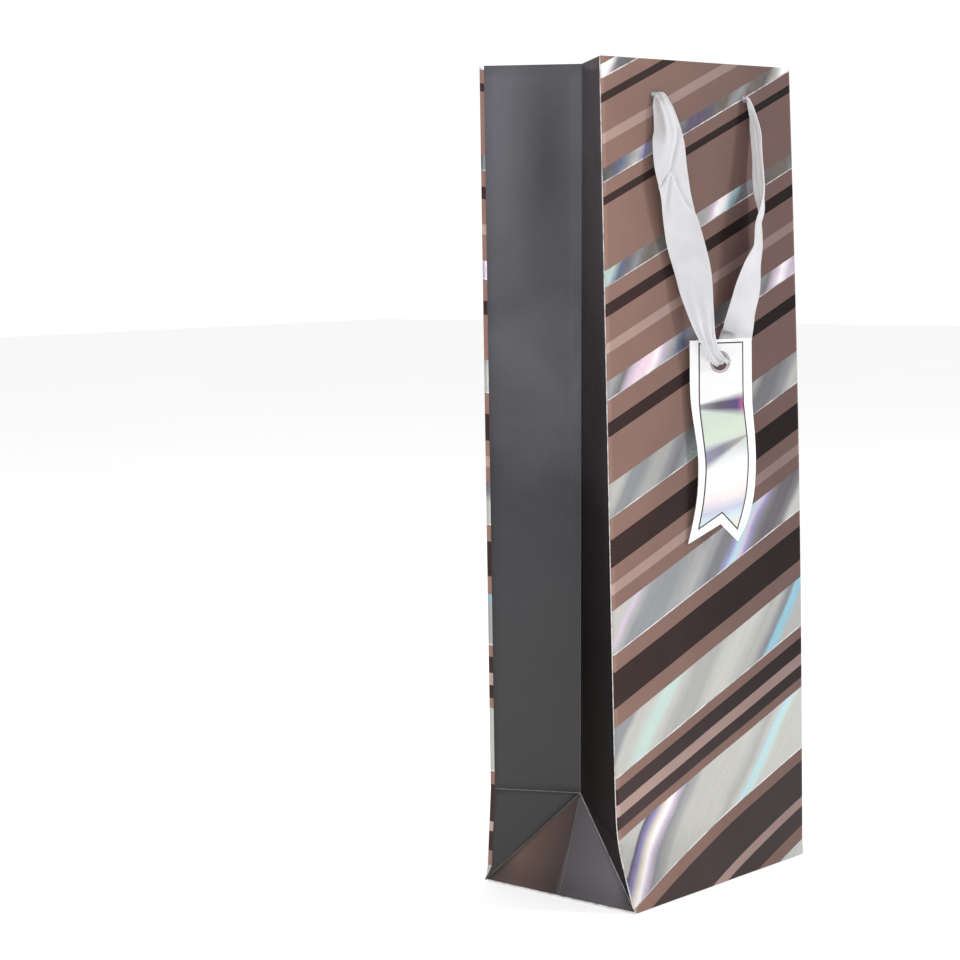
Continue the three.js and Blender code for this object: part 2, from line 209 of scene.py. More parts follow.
class Shader:
    """A material whose colour, roughness and bump come from nodes."""

    def __init__(self, name, **constants):
        self.material = bpy.data.materials.new(name)
        self.material.use_nodes = True
        self.tree = self.material.node_tree
        self.bsdf = self.tree.nodes["Principled BSDF"]
        for socket, value in constants.items():
            self.bsdf.inputs[socket.replace("_", " ")].default_value = value

    def node(self, kind, inputs=(), **settings):
        made = self.tree.nodes.new(kind)
        for key, value in settings.items():
            setattr(made, key, value)
        for key, value in dict(inputs).items():
            if isinstance(value, bpy.types.NodeSocket):
                self.tree.links.new(value, made.inputs[key])
            else:
                made.inputs[key].default_value = value
        return made

    def rest(self):
        return self.node("ShaderNodeAttribute", attribute_name="rest").outputs["Vector"]

    def local(self):
        return self.node("ShaderNodeTexCoord").outputs["Object"]

    def along(self, vector, direction):
        made = self.node("ShaderNodeVectorMath", {0: vector, 1: direction}, operation="DOT_PRODUCT")
        return made.outputs["Value"]

    def math(self, operation, a, b=0.0, clamp=False):
        made = self.node("ShaderNodeMath", {0: a, 1: b}, operation=operation, use_clamp=clamp)
        return made.outputs["Value"]

    def scaled(self, vector, scale):
        return self.node("ShaderNodeMapping", {"Vector": vector, "Scale": scale}).outputs["Vector"]

    def noise(self, vector, scale, detail=2.0, rough=0.5, distortion=0.0):
        inputs = {
            "Vector": vector,
            "Scale": scale,
            "Detail": detail,
            "Roughness": rough,
            "Distortion": distortion,
        }
        return self.node("ShaderNodeTexNoise", inputs).outputs["Fac"]

    def joined(self, x, y, z=0.0):
        return self.node("ShaderNodeCombineXYZ", {0: x, 1: y, 2: z}).outputs["Vector"]

    def ramp(self, value, stops):
        made = self.node("ShaderNodeValToRGB", {"Fac": value})
        elements = made.color_ramp.elements
        while len(elements) < len(stops):
            elements.new(0.5)
        for element, (position, colour) in zip(elements, stops):
            element.position = position
            element.color = (*colour, 1.0)
        return made.outputs["Color"]

    def range(self, value, low, high, to_low, to_high):
        inputs = {"Value": value, "From Min": low, "From Max": high, "To Min": to_low, "To Max": to_high}
        return self.node("ShaderNodeMapRange", inputs).outputs["Result"]

    def mix(self, factor, a, b, blend="MIX"):
        made = self.node("ShaderNodeMix", data_type="RGBA", blend_type=blend)
        for socket, value in ((0, factor), (6, a), (7, b)):
            if isinstance(value, bpy.types.NodeSocket):
                self.tree.links.new(value, made.inputs[socket])
            else:
                made.inputs[socket].default_value = value if socket == 0 else (*value, 1.0)
        return made.outputs[2]

    def link(self, socket, value):
        self.tree.links.new(value, self.bsdf.inputs[socket])

    def spread(self, vector, scale, detail, low, high):
        """Noise that runs from low to high."""
        return self.range(self.noise(vector, scale, detail), 0.3, 0.7, low, high)

    def rough(self, vector, scale, detail, low, high):
        self.link("Roughness", self.spread(vector, scale, detail, low, high))

    def fleck(self, colour, value, share, low, high):
        """Mottles a colour softly. low and high each hold a value and its grey."""
        greys = self.ramp(value, [(at, (grey,) * 3) for at, grey in (low, high)])
        return self.mix(share, colour, greys, "SOFT_LIGHT")

    def bump(self, height, strength, distance):
        inputs = {"Height": height, "Strength": strength, "Distance": distance}
        self.link("Normal", self.node("ShaderNodeBump", inputs).outputs["Normal"])


def printed_paper(name, left, right, floor_light=0.0):
    """Laminated print with its light painted in: lit at the left and in shade towards the right, paler
    in its lower part, and the last argument adds painted light from the floor near the base.
    """
    shader = Shader(name, Coat_Weight=0.04, Coat_Roughness=0.25, Specular_IOR_Level=0.10)
    place = shader.rest()
    x, height = shader.along(place, (1, 0, 0)), shader.along(place, (0, 0, 1))
    # Painted light: each tone runs from lit at the left to shaded at the right, and leans to the lit
    # tone in the lower part.
    side = shader.range(x, -PRINT_X * MM, PRINT_X * MM, 0.0, 1.0)
    side = shader.math("MULTIPLY", side, shader.range(height, 0.02, 0.16, 0.6, 1.0))
    across = shader.math("ADD", side, shader.spread(place, 28.0, 3.0, -0.12, 0.12), clamp=True)
    middle = tuple(a * 0.45 + b * 0.55 for a, b in zip(left, right))
    colour = shader.ramp(across, [(0.0, left), (0.42, middle), (0.9, right)])
    # Painted light from the floor, lifting the tone near the base.
    if floor_light:
        low = shader.range(height, 0.10, 0.04, 0.0, floor_light)
        colour = shader.mix(low, colour, (1.0, 0.95, 0.93), "ADD")
    ink = shader.noise(place, 2600.0, 2.0, 0.7)
    colour = shader.fleck(colour, ink, 0.35, (0.25, 0.4), (0.75, 0.62))
    # Painted highlight on the rounded folds: a lighter band at the left fold, fainter at the right,
    # broken up by noise.
    left_edge = shader.range(x, -0.0605, -0.0622, 0.0, 1.0)
    edge = shader.math("ADD", left_edge, shader.range(x, 0.0608, 0.0624, 0.0, 0.3))
    highlight_noise = shader.noise(shader.scaled(place, (1, 1, 0.15)), 500.0, 3.0)
    fold_highlight = shader.math("MULTIPLY", edge, shader.range(highlight_noise, 0.35, 0.65, 0.5, 1.0))
    shader.link("Base Color", shader.mix(fold_highlight, colour, tuple(c * 1.4 for c in left)))
    shader.rough(place, 160.0, 4.0, 0.34, 0.46)
    shader.bump(shader.noise(place, 900.0, 5.0, 0.6), 0.06, 0.0004)
    return shader.material


def linear(tone, gain=1.0):
    """A screen tone of 0 to 255 as a colour for a shader."""
    return tuple(((c / 255 + 0.055) / 1.055) ** 2.4 * gain for c in tone)


def screen_stops(*rows):
    """Ramp stops from rows of a position and a screen tone."""
    return [(at, linear(tone)) for at, *tone in rows]


def foil(name, level, run, lean):
    """Holographic film with painted reflections: tones run along the band, in soft painted highlight
    streaks that lean across it.
    """
    shader = Shader(name, Metallic=0.55, Specular_IOR_Level=0.5)
    place = shader.rest()
    facing = shader.math("SIGN", shader.along(place, (0, -1, 0)))
    x = shader.math("MULTIPLY", shader.along(place, (1, 0, 0)), facing)
    slide = shader.math("MULTIPLY", shader.along(place, (0, 0, 1)), -lean)
    along = shader.math("ADD", shader.math("MULTIPLY", x, 1 + lean * BAND_RISE), slide)
    warped = shader.math("ADD", along, shader.spread(place, 34.0, 2.0, -0.0018, 0.0018))
    start = -PRINT_X - lean * (level + BAND_RISE * PRINT_X)
    share = shader.range(warped, start * MM, (start + 2 * PRINT_X) * MM, 0.0, 1.0)
    words = run.split()
    stops = []
    for at, tone in zip(words[::2], words[1::2]):
        stops.append(((float(at) + PRINT_X) / (2 * PRINT_X), linear(FOIL_REFLECTED_TONES[tone], FOIL_GAIN)))
    lanes = shader.noise(shader.joined(along, shader.along(place, (0, 0, 0.1))), 260.0, 3.0)
    colour = shader.fleck(shader.ramp(share, stops), lanes, 0.35, (0.3, 0.40), (0.7, 0.60))
    shader.link("Base Color", colour)
    shader.rough(place, 240.0, 3.0, 0.26, 0.36)
    shader.bump(shader.noise(place, 150.0, 1.0), 0.03, 0.0004)
    return shader.material


def bright_edge(name):
    """A painted highlight along a foil band's lower edge, where its embossed edge catches the light."""
    shader = Shader(name, Metallic=0.6)
    place = shader.rest()
    tones = [(0.35, (0.40, 0.41, 0.42)), (0.6, (0.80, 0.81, 0.82))]
    shader.link("Base Color", shader.ramp(shader.noise(place, 120.0, 2.0), tones))
    shader.rough(place, 500.0, 2.0, 0.2, 0.35)
    return shader.material


# Where painted shade darkens the rear gusset for a soft dent beside the crease near the mouth, in metres
SHADE_Y, SHADE_Z, SHADE_WIDE, SHADE_TALL = 0.016, 0.322, 0.015, 0.07


def charcoal(name, stops, gloss=0.2, painted_dent_shade=0.0):
    """Matt charcoal laminate with a faint linen grain. stops are painted light and shade up the height
    of the bag, and the last argument is how much painted shade darkens the place of a soft dent near the
    mouth."""
    shader = Shader(name, Specular_IOR_Level=gloss)
    place = shader.rest()
    height = shader.range(shader.along(place, (0, 0, 1)), 0.0, 0.36, 0.0, 1.0)
    cloud = shader.spread(place, 22.0, 4.0, -0.05, 0.05)
    colour = shader.ramp(shader.math("ADD", height, cloud, clamp=True), stops)
    if painted_dent_shade:
        # Painted shade: darkens the patch where the gusset dents beside the crease.
        dent = shader.node("ShaderNodeMapping", {
            "Vector": place,
            "Location": (0, -SHADE_Y / SHADE_WIDE, -SHADE_Z / SHADE_TALL),
            "Scale": (0, 1 / SHADE_WIDE, 1 / SHADE_TALL),
        }).outputs["Vector"]
        reach = shader.node("ShaderNodeVectorMath", {0: dent}, operation="LENGTH").outputs["Value"]
        shade = shader.ramp(reach, [(0.1, (1 - painted_dent_shade,) * 3), (0.95, (1.0,) * 3)])
        colour = shader.mix(1.0, colour, shade, "MULTIPLY")
    threads = [shader.noise(shader.scaled(place, scale), 1500.0, 2.0)
               for scale in ((1, 1, 0.08), (0.08, 0.08, 1))]
    linen = shader.math("ADD", *threads)
    grain = shader.math("MULTIPLY", linen, 0.5)
    shader.link("Base Color", shader.fleck(colour, grain, 0.22, (0.3, 0.42), (0.7, 0.58)))
    shader.rough(place, 90.0, 5.0, 0.38, 0.52)
    shader.bump(linen, 0.12, 0.0002)
    return shader.material


def foot_laminate(name):
    """The foot's triangle, its light and shade painted in: warm behind its middle fold and cooler in
    front of it, with a painted highlight in front of the fold and painted shade near the floor.
    """
    shader = Shader(name, Specular_IOR_Level=0.2)
    place = shader.rest()
    depth = shader.range(shader.along(place, (0, 1, 0)), 0.0425, -0.0425, 0.0, 1.0)
    cloud = shader.spread(place, 40.0, 3.0, -0.012, 0.012)
    # Painted light and shade across the foot, with a painted highlight on the front half.
    tone = shader.ramp(shader.math("ADD", depth, cloud), screen_stops(
        (0.04, 80, 70, 69), (0.18, 106, 86, 81), (0.33, 92, 74, 69), (0.478, 72, 60, 59),
        (0.492, 86, 81, 84), (0.68, 98, 94, 99), (0.84, 109, 103, 110), (0.97, 80, 74, 77),
    ))
    # Painted shade, darker towards the floor.
    low = shader.range(shader.along(place, (0, 0, 1)), 0.0, 0.012, 0.7, 1.0)
    colour = shader.mix(1.0, tone, shader.joined(low, low, low), "MULTIPLY")
    grain = shader.noise(place, 1700.0, 2.0)
    shader.link("Base Color", shader.fleck(colour, grain, 0.5, (0.3, 0.44), (0.7, 0.56)))
    shader.rough(place, 90.0, 5.0, 0.36, 0.5)
    shader.bump(grain, 0.1, 0.0002)
    return shader.material


def fibre(name, pale, deep, rest=True, rough=0.75):
    """Uncoated paper or board: short fibres, specks and a soft mottling."""
    shader = Shader(name, Specular_IOR_Level=0.25)
    place = shader.rest() if rest else shader.local()
    fibres = shader.noise(shader.scaled(place, (1, 1, 3)), 700.0, 6.0, 0.65, 0.6)
    cloud = shader.noise(place, 45.0, 3.0)
    tone = shader.math("MULTIPLY", shader.math("ADD", fibres, cloud), 0.5)
    shader.link("Base Color", shader.ramp(tone, [(0.3, deep), (0.62, pale)]))
    shader.link("Roughness", shader.range(cloud, 0.3, 0.7, rough - 0.06, rough + 0.08))
    shader.bump(fibres, 0.25, 0.0003)
    return shader.material


def worn(name, pale, deep):
    """The pale line that a fold wears into the laminate, broken up along its length."""
    shader = Shader(name, Coat_Weight=0.3, Coat_Roughness=0.2)
    place = shader.rest()
    broken = shader.noise(place, 260.0, 4.0, 0.6)
    shader.link("Base Color", shader.ramp(broken, [(0.34, deep), (0.56, pale)]))
    shader.rough(place, 800.0, 2.0, 0.35, 0.6)
    shader.bump(shader.noise(place, 1500.0, 3.0), 0.2, 0.0002)
    return shader.material


def satin(name):
    """White satin: fine ribs across the ribbon and a soft long sheen."""
    shader = Shader(name, Sheen_Weight=0.35, Sheen_Roughness=0.35, Specular_IOR_Level=0.45,
                    Anisotropic=0.4, Subsurface_Weight=0.4, Subsurface_Scale=0.002,
                    Subsurface_Radius=(1, 1, 1))
    weave = shader.node("ShaderNodeAttribute", attribute_name="weave").outputs["Vector"]
    ribs = shader.node("ShaderNodeTexWave", {"Vector": weave, "Scale": 900.0, "Distortion": 0.6,
                                             "Detail": 1.0}, bands_direction="Y").outputs["Fac"]
    threads = shader.noise(shader.scaled(weave, (1, 0.06, 1)), 4200.0, 2.0)
    soft = shader.noise(weave, 60.0, 3.0)
    tone = shader.math("ADD", shader.math("MULTIPLY", ribs, 0.25), shader.math("MULTIPLY", soft, 0.75))
    shader.link("Base Color", shader.ramp(tone, [
        (0.25, (0.59, 0.59, 0.615)), (0.7, (0.77, 0.77, 0.795))]))
    shader.link("Roughness", shader.range(threads, 0.3, 0.7, 0.36, 0.5))
    shader.bump(shader.math("ADD", ribs, threads), 0.22, 0.0001)
    return shader.material


def tag_foil(name):
    """The tag's foil face: white at the hole, two dark wedges that open to opposite sides, pale
    green between them, and pearly passages down to the tails."""
    shader = Shader(name, Metallic=0.4, Specular_IOR_Level=0.5)
    place = shader.rest()
    wide = shader.along(place, tuple(TAG_U * 1000))
    u = shader.math("SUBTRACT", wide, float(TAG_HOLE @ TAG_U))
    v = shader.math("SUBTRACT", shader.along(place, (0, 0, 1000)), float(TAG_HOLE[2]))
    warp = shader.spread(place, 60.0, 2.0, -1.2, 1.2)
    fall = shader.math("SUBTRACT", shader.math("ADD", v, warp), shader.math("MULTIPLY", u, 0.3))
    colour = shader.ramp(shader.range(fall, 10.0, -78.0, 0.0, 1.0), screen_stops(
        (0.0, 244, 245, 245), (0.29, 246, 247, 246), (0.345, 206, 218, 206), (0.47, 214, 226, 208),
        (0.55, 208, 216, 214), (0.64, 246, 246, 248), (0.73, 247, 243, 243), (0.79, 240, 232, 230),
        (0.845, 200, 200, 222), (0.89, 206, 226, 232), (0.94, 236, 228, 208), (1.0, 176, 180, 190),
    ))

    def wedge(base, line, middle, growth, tone):
        """A wedge above a sloped line: middle is how thick it is at u = 0."""
        thick = shader.math("ADD", shader.math("MULTIPLY", u, growth), middle)
        sloped = shader.math("ADD", shader.math("MULTIPLY", u, line[1]), line[0])
        level = shader.math("SUBTRACT", v, sloped)
        share = shader.math("DIVIDE", level, thick)
        rise = shader.range(share, -0.3, 0.2, 0.0, 1.0)
        drop = shader.range(share, 0.7, 1.15, 1.0, 0.0)
        return shader.mix(shader.math("MULTIPLY", rise, drop), base, tone)

    plum = shader.ramp(shader.range(u, -10.0, 11.0, 0.0, 1.0), screen_stops(
        (0.0, 150, 152, 158), (0.4, 104, 96, 110), (0.85, 92, 76, 122), (1.0, 186, 104, 160)))
    colour = wedge(colour, (-21.0, -0.065), 4.9, 0.26, plum)
    slate = shader.ramp(shader.range(u, -10.0, 12.0, 0.0, 1.0), screen_stops(
        (0.0, 150, 148, 178), (0.5, 136, 134, 146), (1.0, 178, 172, 166)))
    shader.link("Base Color", wedge(colour, (-40.8, 0.65), 5.5, -0.37, slate))
    shader.rough(place, 200.0, 3.0, 0.24, 0.34)
    return shader.material


# Each print's tone painted lit at the left fold and in shade at the right.
MAUVE_LEFT, MAUVE_RIGHT = (0.240, 0.143, 0.116), (0.130, 0.078, 0.070)
DARK_LEFT, DARK_RIGHT = (0.036, 0.018, 0.017), (0.008, 0.003, 0.003)
LIGHT_LEFT, LIGHT_RIGHT = (0.385, 0.268, 0.236), (0.215, 0.146, 0.137)

# Painted light and shade up the height of the charcoal gussets: the rear halves are painted lit and
# lighter towards the top, the front halves are painted in shade and far darker.
REAR_LIGHT_AND_SHADE = [
    (0.05, (0.050, 0.048, 0.049)), (0.15, (0.057, 0.054, 0.056)), (0.35, (0.059, 0.056, 0.060)),
    (0.46, (0.055, 0.053, 0.059)), (0.56, (0.083, 0.082, 0.092)), (0.635, (0.108, 0.106, 0.119)),
    (0.71, (0.085, 0.083, 0.095)), (0.80, (0.108, 0.107, 0.121)), (0.93, (0.130, 0.130, 0.148)),
]
FRONT_LIGHT_AND_SHADE = [
    (0.04, (0.016, 0.012, 0.013)), (0.13, (0.009, 0.006, 0.006)), (0.30, (0.005, 0.003, 0.003)),
    (0.46, (0.010, 0.007, 0.008)), (0.56, (0.022, 0.018, 0.020)), (0.70, (0.034, 0.028, 0.031)),
    (0.80, (0.048, 0.041, 0.045)), (0.90, (0.067, 0.059, 0.064)),
]

MATERIALS = {
    "mauve": printed_paper("mauve_print", MAUVE_LEFT, MAUVE_RIGHT),
    "dark": printed_paper("dark_print", DARK_LEFT, DARK_RIGHT, floor_light=0.02),
    "light": printed_paper("pale_mauve_print", LIGHT_LEFT, LIGHT_RIGHT),
    "foil_edge": bright_edge("foil_edge_highlight"),
    "rear": charcoal("charcoal_rear_lit", REAR_LIGHT_AND_SHADE, painted_dent_shade=0.45),
    "front": charcoal("charcoal_front_shaded", FRONT_LIGHT_AND_SHADE, 0.08),
    "foot": foot_laminate("charcoal_foot_shaded"),
    "lining": fibre("white_lining", (0.80, 0.79, 0.77), (0.66, 0.65, 0.63)),
    "card": fibre("grey_card", (0.52, 0.50, 0.46), (0.36, 0.34, 0.31)),
    "worn": worn("worn_fold", (0.34, 0.33, 0.34), (0.12, 0.11, 0.12)),
    "crease": worn("soft_crease", (0.13, 0.13, 0.14), (0.07, 0.07, 0.075)),
    "worn_edge": worn("worn_bright_edge", (0.74, 0.73, 0.72), (0.34, 0.32, 0.31)),
    "worn_print": worn("worn_print_fold", (0.62, 0.56, 0.53), (0.34, 0.27, 0.25)),
    "satin": satin("white_satin"),
    "tag_white": fibre("tag_card_white", (0.99, 0.99, 0.99), (0.92, 0.93, 0.93), rough=0.5),
    "tag_foil": tag_foil("tag_rainbow_foil"),
    "tag_line": worn("tag_dark_line", (0.035, 0.03, 0.035), (0.015, 0.015, 0.018)),
    "tag_ring": worn("tag_grey_ring", (0.42, 0.42, 0.43), (0.30, 0.30, 0.31)),
}
for name, (top, width), run, lean in zip(FOILS, FOIL_BANDS, FOIL_RUNS, FOIL_LEAN):
    MATERIALS[name] = foil(f"rainbow_{name}", top - width / 2, run, lean)


# ---------------------------------------------------------------- meshes


def clamped(value):
    return min(max(value, 0.0), 1.0)


def unit(rows):
    """The same directions at length 1."""
    rows = np.asarray(rows, float)
    return rows / np.linalg.norm(rows, axis=-1, keepdims=True)


def vector_attribute(mesh, name, values):
    attribute = mesh.attributes.new(name, "FLOAT_VECTOR", "POINT")
    attribute.data.foreach_set("vector", np.asarray(values, np.float32).ravel())


def object_from(bm, name, materials, sharp=35.0):
    """Makes the object, keeps where each point rests for the materials, and marks hard edges."""
    for face in bm.faces:
        face.smooth = True
    for edge in bm.edges:
        edge.smooth = edge.calc_face_angle(0.0) < math.radians(sharp)
    mesh = bpy.data.meshes.new(name)
    bm.to_mesh(mesh)
    bm.free()
    for key in materials:
        mesh.materials.append(MATERIALS[key])
    vector_attribute(mesh, "rest", [v.co for v in mesh.vertices])
    made = bpy.data.objects.new(name, mesh)
    bpy.context.scene.collection.objects.link(made)
    return made


def sheet_mesh(grid, thickness):
    """A closed sheet. grid[i][j] is its outer face in mm: columns run across, rows run up. Each
    face's side is 0 outside, 1 inside, 2 on the top edge and 3 on the other edges."""
    grid = np.asarray(grid, float)
    normal = unit(np.cross(np.gradient(grid, axis=1), np.gradient(grid, axis=0)))
    under = grid - normal * thickness
    rows, columns = grid.shape[:2]
    bm = bmesh.new()
    side = bm.faces.layers.int.new("side")
    outer = [[bm.verts.new(p * MM) for p in row] for row in grid]
    inner = [[bm.verts.new(p * MM) for p in row] for row in under]

    def face(corners, kind):
        bm.faces.new(corners)[side] = kind

    for i in range(rows - 1):
        for j in range(columns - 1):
            face((outer[i][j], outer[i][j + 1], outer[i + 1][j + 1], outer[i + 1][j]), 0)
            face((inner[i][j], inner[i + 1][j], inner[i + 1][j + 1], inner[i][j + 1]), 1)
    last, end = rows - 1, columns - 1
    for j in range(end):
        face((outer[0][j + 1], outer[0][j], inner[0][j], inner[0][j + 1]), 3)
        face((outer[last][j], outer[last][j + 1], inner[last][j + 1], inner[last][j]), 2)
    for i in range(last):
        face((outer[i][0], outer[i + 1][0], inner[i + 1][0], inner[i][0]), 3)
        face((outer[i + 1][end], outer[i][end], inner[i][end], inner[i + 1][end]), 3)
    return bm, side


def rise(height):
    """How steeply a band that meets the left fold at this height climbs to the right."""
    low = clamped((RISE_TURN_Z - height) / RISE_TURN_SPAN)
    return BAND_RISE + (BAND_RISE_FOOT - BAND_RISE) * low


def left_height(x, z):
    """Height at the left fold of the printed line through (x, z)."""
    height = z
    for _ in range(6):
        height = z - rise(height) * (x + PRINT_X)
    return height


def print_at(x, z):
    """What is printed on a panel at (x, z), with x to the viewer's right."""
    height = left_height(x, z)
    foils = iter(FOILS)
    for kind, top, width in BANDS:
        printed = next(foils) if kind == "foil" else kind
        if top - width < height <= top:
            return "foil_edge" if kind == "foil" and height < top - width + FOIL_EDGE else printed
    return "mauve"


def cut_bands(bm, facing):
    """Splits the mesh along every edge of the print. facing is 1 on the front, -1 on the back."""
    heights = set()
    for kind, top, width in BANDS:
        heights |= {top, top - width}
        if kind == "foil":
            heights.add(top - width + FOIL_EDGE)
    for height in sorted(heights):
        bmesh.ops.bisect_plane(
            bm,
            geom=bm.verts[:] + bm.edges[:] + bm.faces[:],
            dist=1e-7,
            plane_co=Vector((-PRINT_X * facing, 0.0, height)) * MM,
            plane_no=Vector((-rise(height) * facing, 0.0, 1.0)),
        )


def punch(bm, x, z, radius, sides=20):
    """A round hole through the sheet along Y."""
    near = (radius + 5.3) * MM
    centre = Vector((x, 0.0, z)) * MM

    def flat_distance(face):
        middle = face.calc_center_median()
        return Vector((middle.x - centre.x, middle.z - centre.z)).length

    for k in range(sides):
        turn = 2 * math.pi * k / sides
        out = Vector((math.cos(turn), 0.0, math.sin(turn)))
        faces = [f for f in bm.faces if flat_distance(f) < near]
        parts = {p for f in faces for p in (*f.verts, *f.edges)}
        bmesh.ops.bisect_plane(bm, geom=list(parts) + faces, dist=1e-7,
                               plane_co=centre + out * radius * MM, plane_no=out)
    gone = [f for f in bm.faces if flat_distance(f) < radius * 0.985 * MM]
    bmesh.ops.delete(bm, geom=gone, context="FACES")
    loops = [e for e in bm.edges if e.is_boundary]
    for made in bmesh.ops.bridge_loops(bm, edges=loops)["faces"]:
        made[bm.faces.layers.int["side"]] = 3


def printed_sheet(name, grid, thickness, facing, holes=()):
    """Striped paper: the print is cut into the outer face, and the top fold is worn."""
    bm, side = sheet_mesh(grid, thickness)
    cut_bands(bm, facing)
    for x, z in holes:
        punch(bm, x, z, HOLE_R)
    names = [*PRINTS, "lining", "worn_print"]
    for face in bm.faces:
        kind = face[side]
        key = "worn_print" if kind == 2 else "lining"
        if kind == 0:
            middle = face.calc_center_median() / MM
            key = print_at(middle.x * facing, middle.z)
        face.material_index = names.index(key)
    return object_from(bm, name, names)


def plain_sheet(name, grid, thickness, outside, inside="lining", holes=(), split=None):
    """Unprinted paper. split says where its outside takes the second material."""
    bm, side = sheet_mesh(grid, thickness)
    for x, z in holes:
        punch(bm, x, z, HOLE_R)
    names = [*outside, inside, "worn"]
    for face in bm.faces:
        kind = face[side]
        face.material_index = {0: 0, 1: len(outside), 2: len(outside) + 1, 3: len(outside)}[kind]
        if kind == 0 and split is not None and split(face.calc_center_median() / MM):
            face.material_index = 1
    return object_from(bm, name, names)


# ---------------------------------------------------------------- the shape of the paper


def fullness(x, z, low):
    """How far a panel bulges at (x, z): nothing at its sides, at low, and from the hem up."""
    across = clamped((x + PRINT_X) / (2 * PRINT_X))
    up = clamped((z - low) / (HEM_LOW - low))
    return math.sin(math.pi * across) ** 2 * math.sin(math.pi * up)


def front_y(x, z):
    """Outer face of the front: leaning in on the left, full in the middle, flared at the foot."""
    share = (x + PRINT_X) / (2 * PRINT_X)
    lean = max(0.0, z - KINK_Z) / (BAG_H - KINK_Z)
    left = FRONT_LEFT_KINK + (FRONT_LEFT_TOP - FRONT_LEFT_KINK) * lean
    down = 1.0 - z / BAG_H
    right = FRONT_RIGHT_TOP + (FRONT_FOOT - FRONT_RIGHT_TOP) * down
    right -= FRONT_RIGHT_BOW * math.sin(math.pi * clamped(down))
    wall = left * (1 - share) + right * share
    below = KINK_Z - z
    flare = below + math.hypot(below, KINK_SOFTNESS)
    foot = flare / (KINK_Z + math.hypot(KINK_Z, KINK_SOFTNESS))
    wave = math.sin(x * 0.11 + z * 0.021) * math.sin(math.pi * clamped(share)) ** 2
    bulge = FRONT_BULGE * fullness(x, z, KINK_Z)
    return wall + (FRONT_FOOT - wall) * foot - bulge + FRONT_RIPPLE * wave


def back_y(x, z):
    """Outer face of the back: upright above the crease, leaning out to the base below it."""
    if z < CREASE_Z:
        return BACK_Y + (BACK_FOOT - BACK_Y) * (CREASE_Z - z) / CREASE_Z
    return BACK_Y + BACK_BULGE * fullness(x, z, CREASE_Z)


def signed(side):
    return -1.0 if side == "left" else 1.0


def panel_point(end, x, z):
    """A point on the outer face of the front (end -1) or the back (end 1)."""
    surface = front_y if end < 0 else back_y
    return np.array([x, surface(x, z), z])


def corner_at(side, end, z):
    return panel_point(end, signed(side) * HALF_W, z)


def apex(side):
    return CREASES[side][1]


def base_corner(side, end):
    """The foot's corner on the floor."""
    return np.array([signed(side) * BASE_X, end * HALF_D, FLOOR_Z])


def crease(side, z):
    """The gusset crease at height z."""
    top, bottom = CREASES[side]
    share = (z - CREASE_Z) / (BAG_H - CREASE_Z)
    return bottom + (top - bottom) * share


def gusset_target(side, end, z):
    """The point at height z that the gusset paper runs to from a front or back corner."""
    if z >= CREASE_Z:
        return crease(side, z)
    corner = base_corner(side, end)
    return corner + (apex(side) - corner) * max(z - FLOOR_Z, 0.0) / (CREASE_Z - FLOOR_Z)


def lip(side, end, z):
    """Where the fold's rounding ends on the gusset."""
    corner = corner_at(side, end, z)
    run = gusset_target(side, end, z) - corner
    distance = np.linalg.norm(run)
    return corner + run * min(FOLD_LIP[end] / max(distance, 1e-6), 0.6)


def fold_section(side, end, z, steps=9):
    """The rounded fold at a corner, from the panel round to the gusset."""
    start = panel_point(end, signed(side) * (HALF_W - FOLD), z)
    corner, finish = corner_at(side, end, z), lip(side, end, z)
    t = np.linspace(0.0, 1.0, steps)[:, None]
    return start * (1 - t) ** 2 + corner * 2 * t * (1 - t) + finish * t**2


def levels(low, high, step):
    """Heights from low to high, about step apart."""
    return np.linspace(low, high, max(2, int(round((high - low) / step)) + 1))


def fold_grid(side, end, low, high):
    """Rows of the fold from low to high, with its columns in the order that faces outward."""
    grid = np.array([fold_section(side, end, z) for z in levels(low, high, 7.0)])
    if (side == "left") == (end < 0):
        grid = grid[:, ::-1]
    return grid


def panel_grid(surface, facing, low, high, depth):
    """A sheet behind the front or back panel, moved inward by depth."""
    xs = np.linspace(-HALF_W + HEM_INSET, HALF_W - HEM_INSET, 25) * facing
    return np.array([[(x, surface(x, z) + depth * facing, z) for x in xs]
                     for z in levels(low, high, 6.0)])


def front_levels():
    """Rows of the whole front, close together where it turns into the flare."""
    return np.concatenate([np.linspace(LOW_Z, 66.0, 23), levels(72.0, BAG_H, 6.0)])


def bowed(a, b, count, bulge, out):
    """Points from a to b that bow gently along out."""
    t = np.linspace(0.0, 1.0, count)
    bow = (np.sin(np.pi * t) ** 1.5)[:, None] * bulge
    return a * (1 - t)[:, None] + b * t[:, None] + bow * out


def gusset_grid(side, columns=8):
    """Both halves of a gusset, from the back fold over the crease to the front fold."""
    out_rear = np.array([signed(side) * 0.8, -0.6, 0.0])
    out_front = np.array([signed(side) * 0.8, 0.6, 0.0])
    rows = []
    for share in np.linspace(0.0, 1.0, 54):
        z_rear = CREASE_Z + (BAG_H - CREASE_Z) * share
        z_front = KINK_Z + (BAG_H - KINK_Z) * share
        soft = GUSSET_BULGE * math.sin(math.pi * min(share * 1.08, 1.0))
        middle = crease(side, z_rear)
        rear = bowed(lip(side, 1, z_rear), middle, columns, soft, out_rear)
        front = bowed(middle, lip(side, -1, z_front), columns, soft, out_front)
        rows.append(np.concatenate([rear, front[1:]]))
    grid = np.array(rows)
    return grid if side == "left" else grid[:, ::-1]


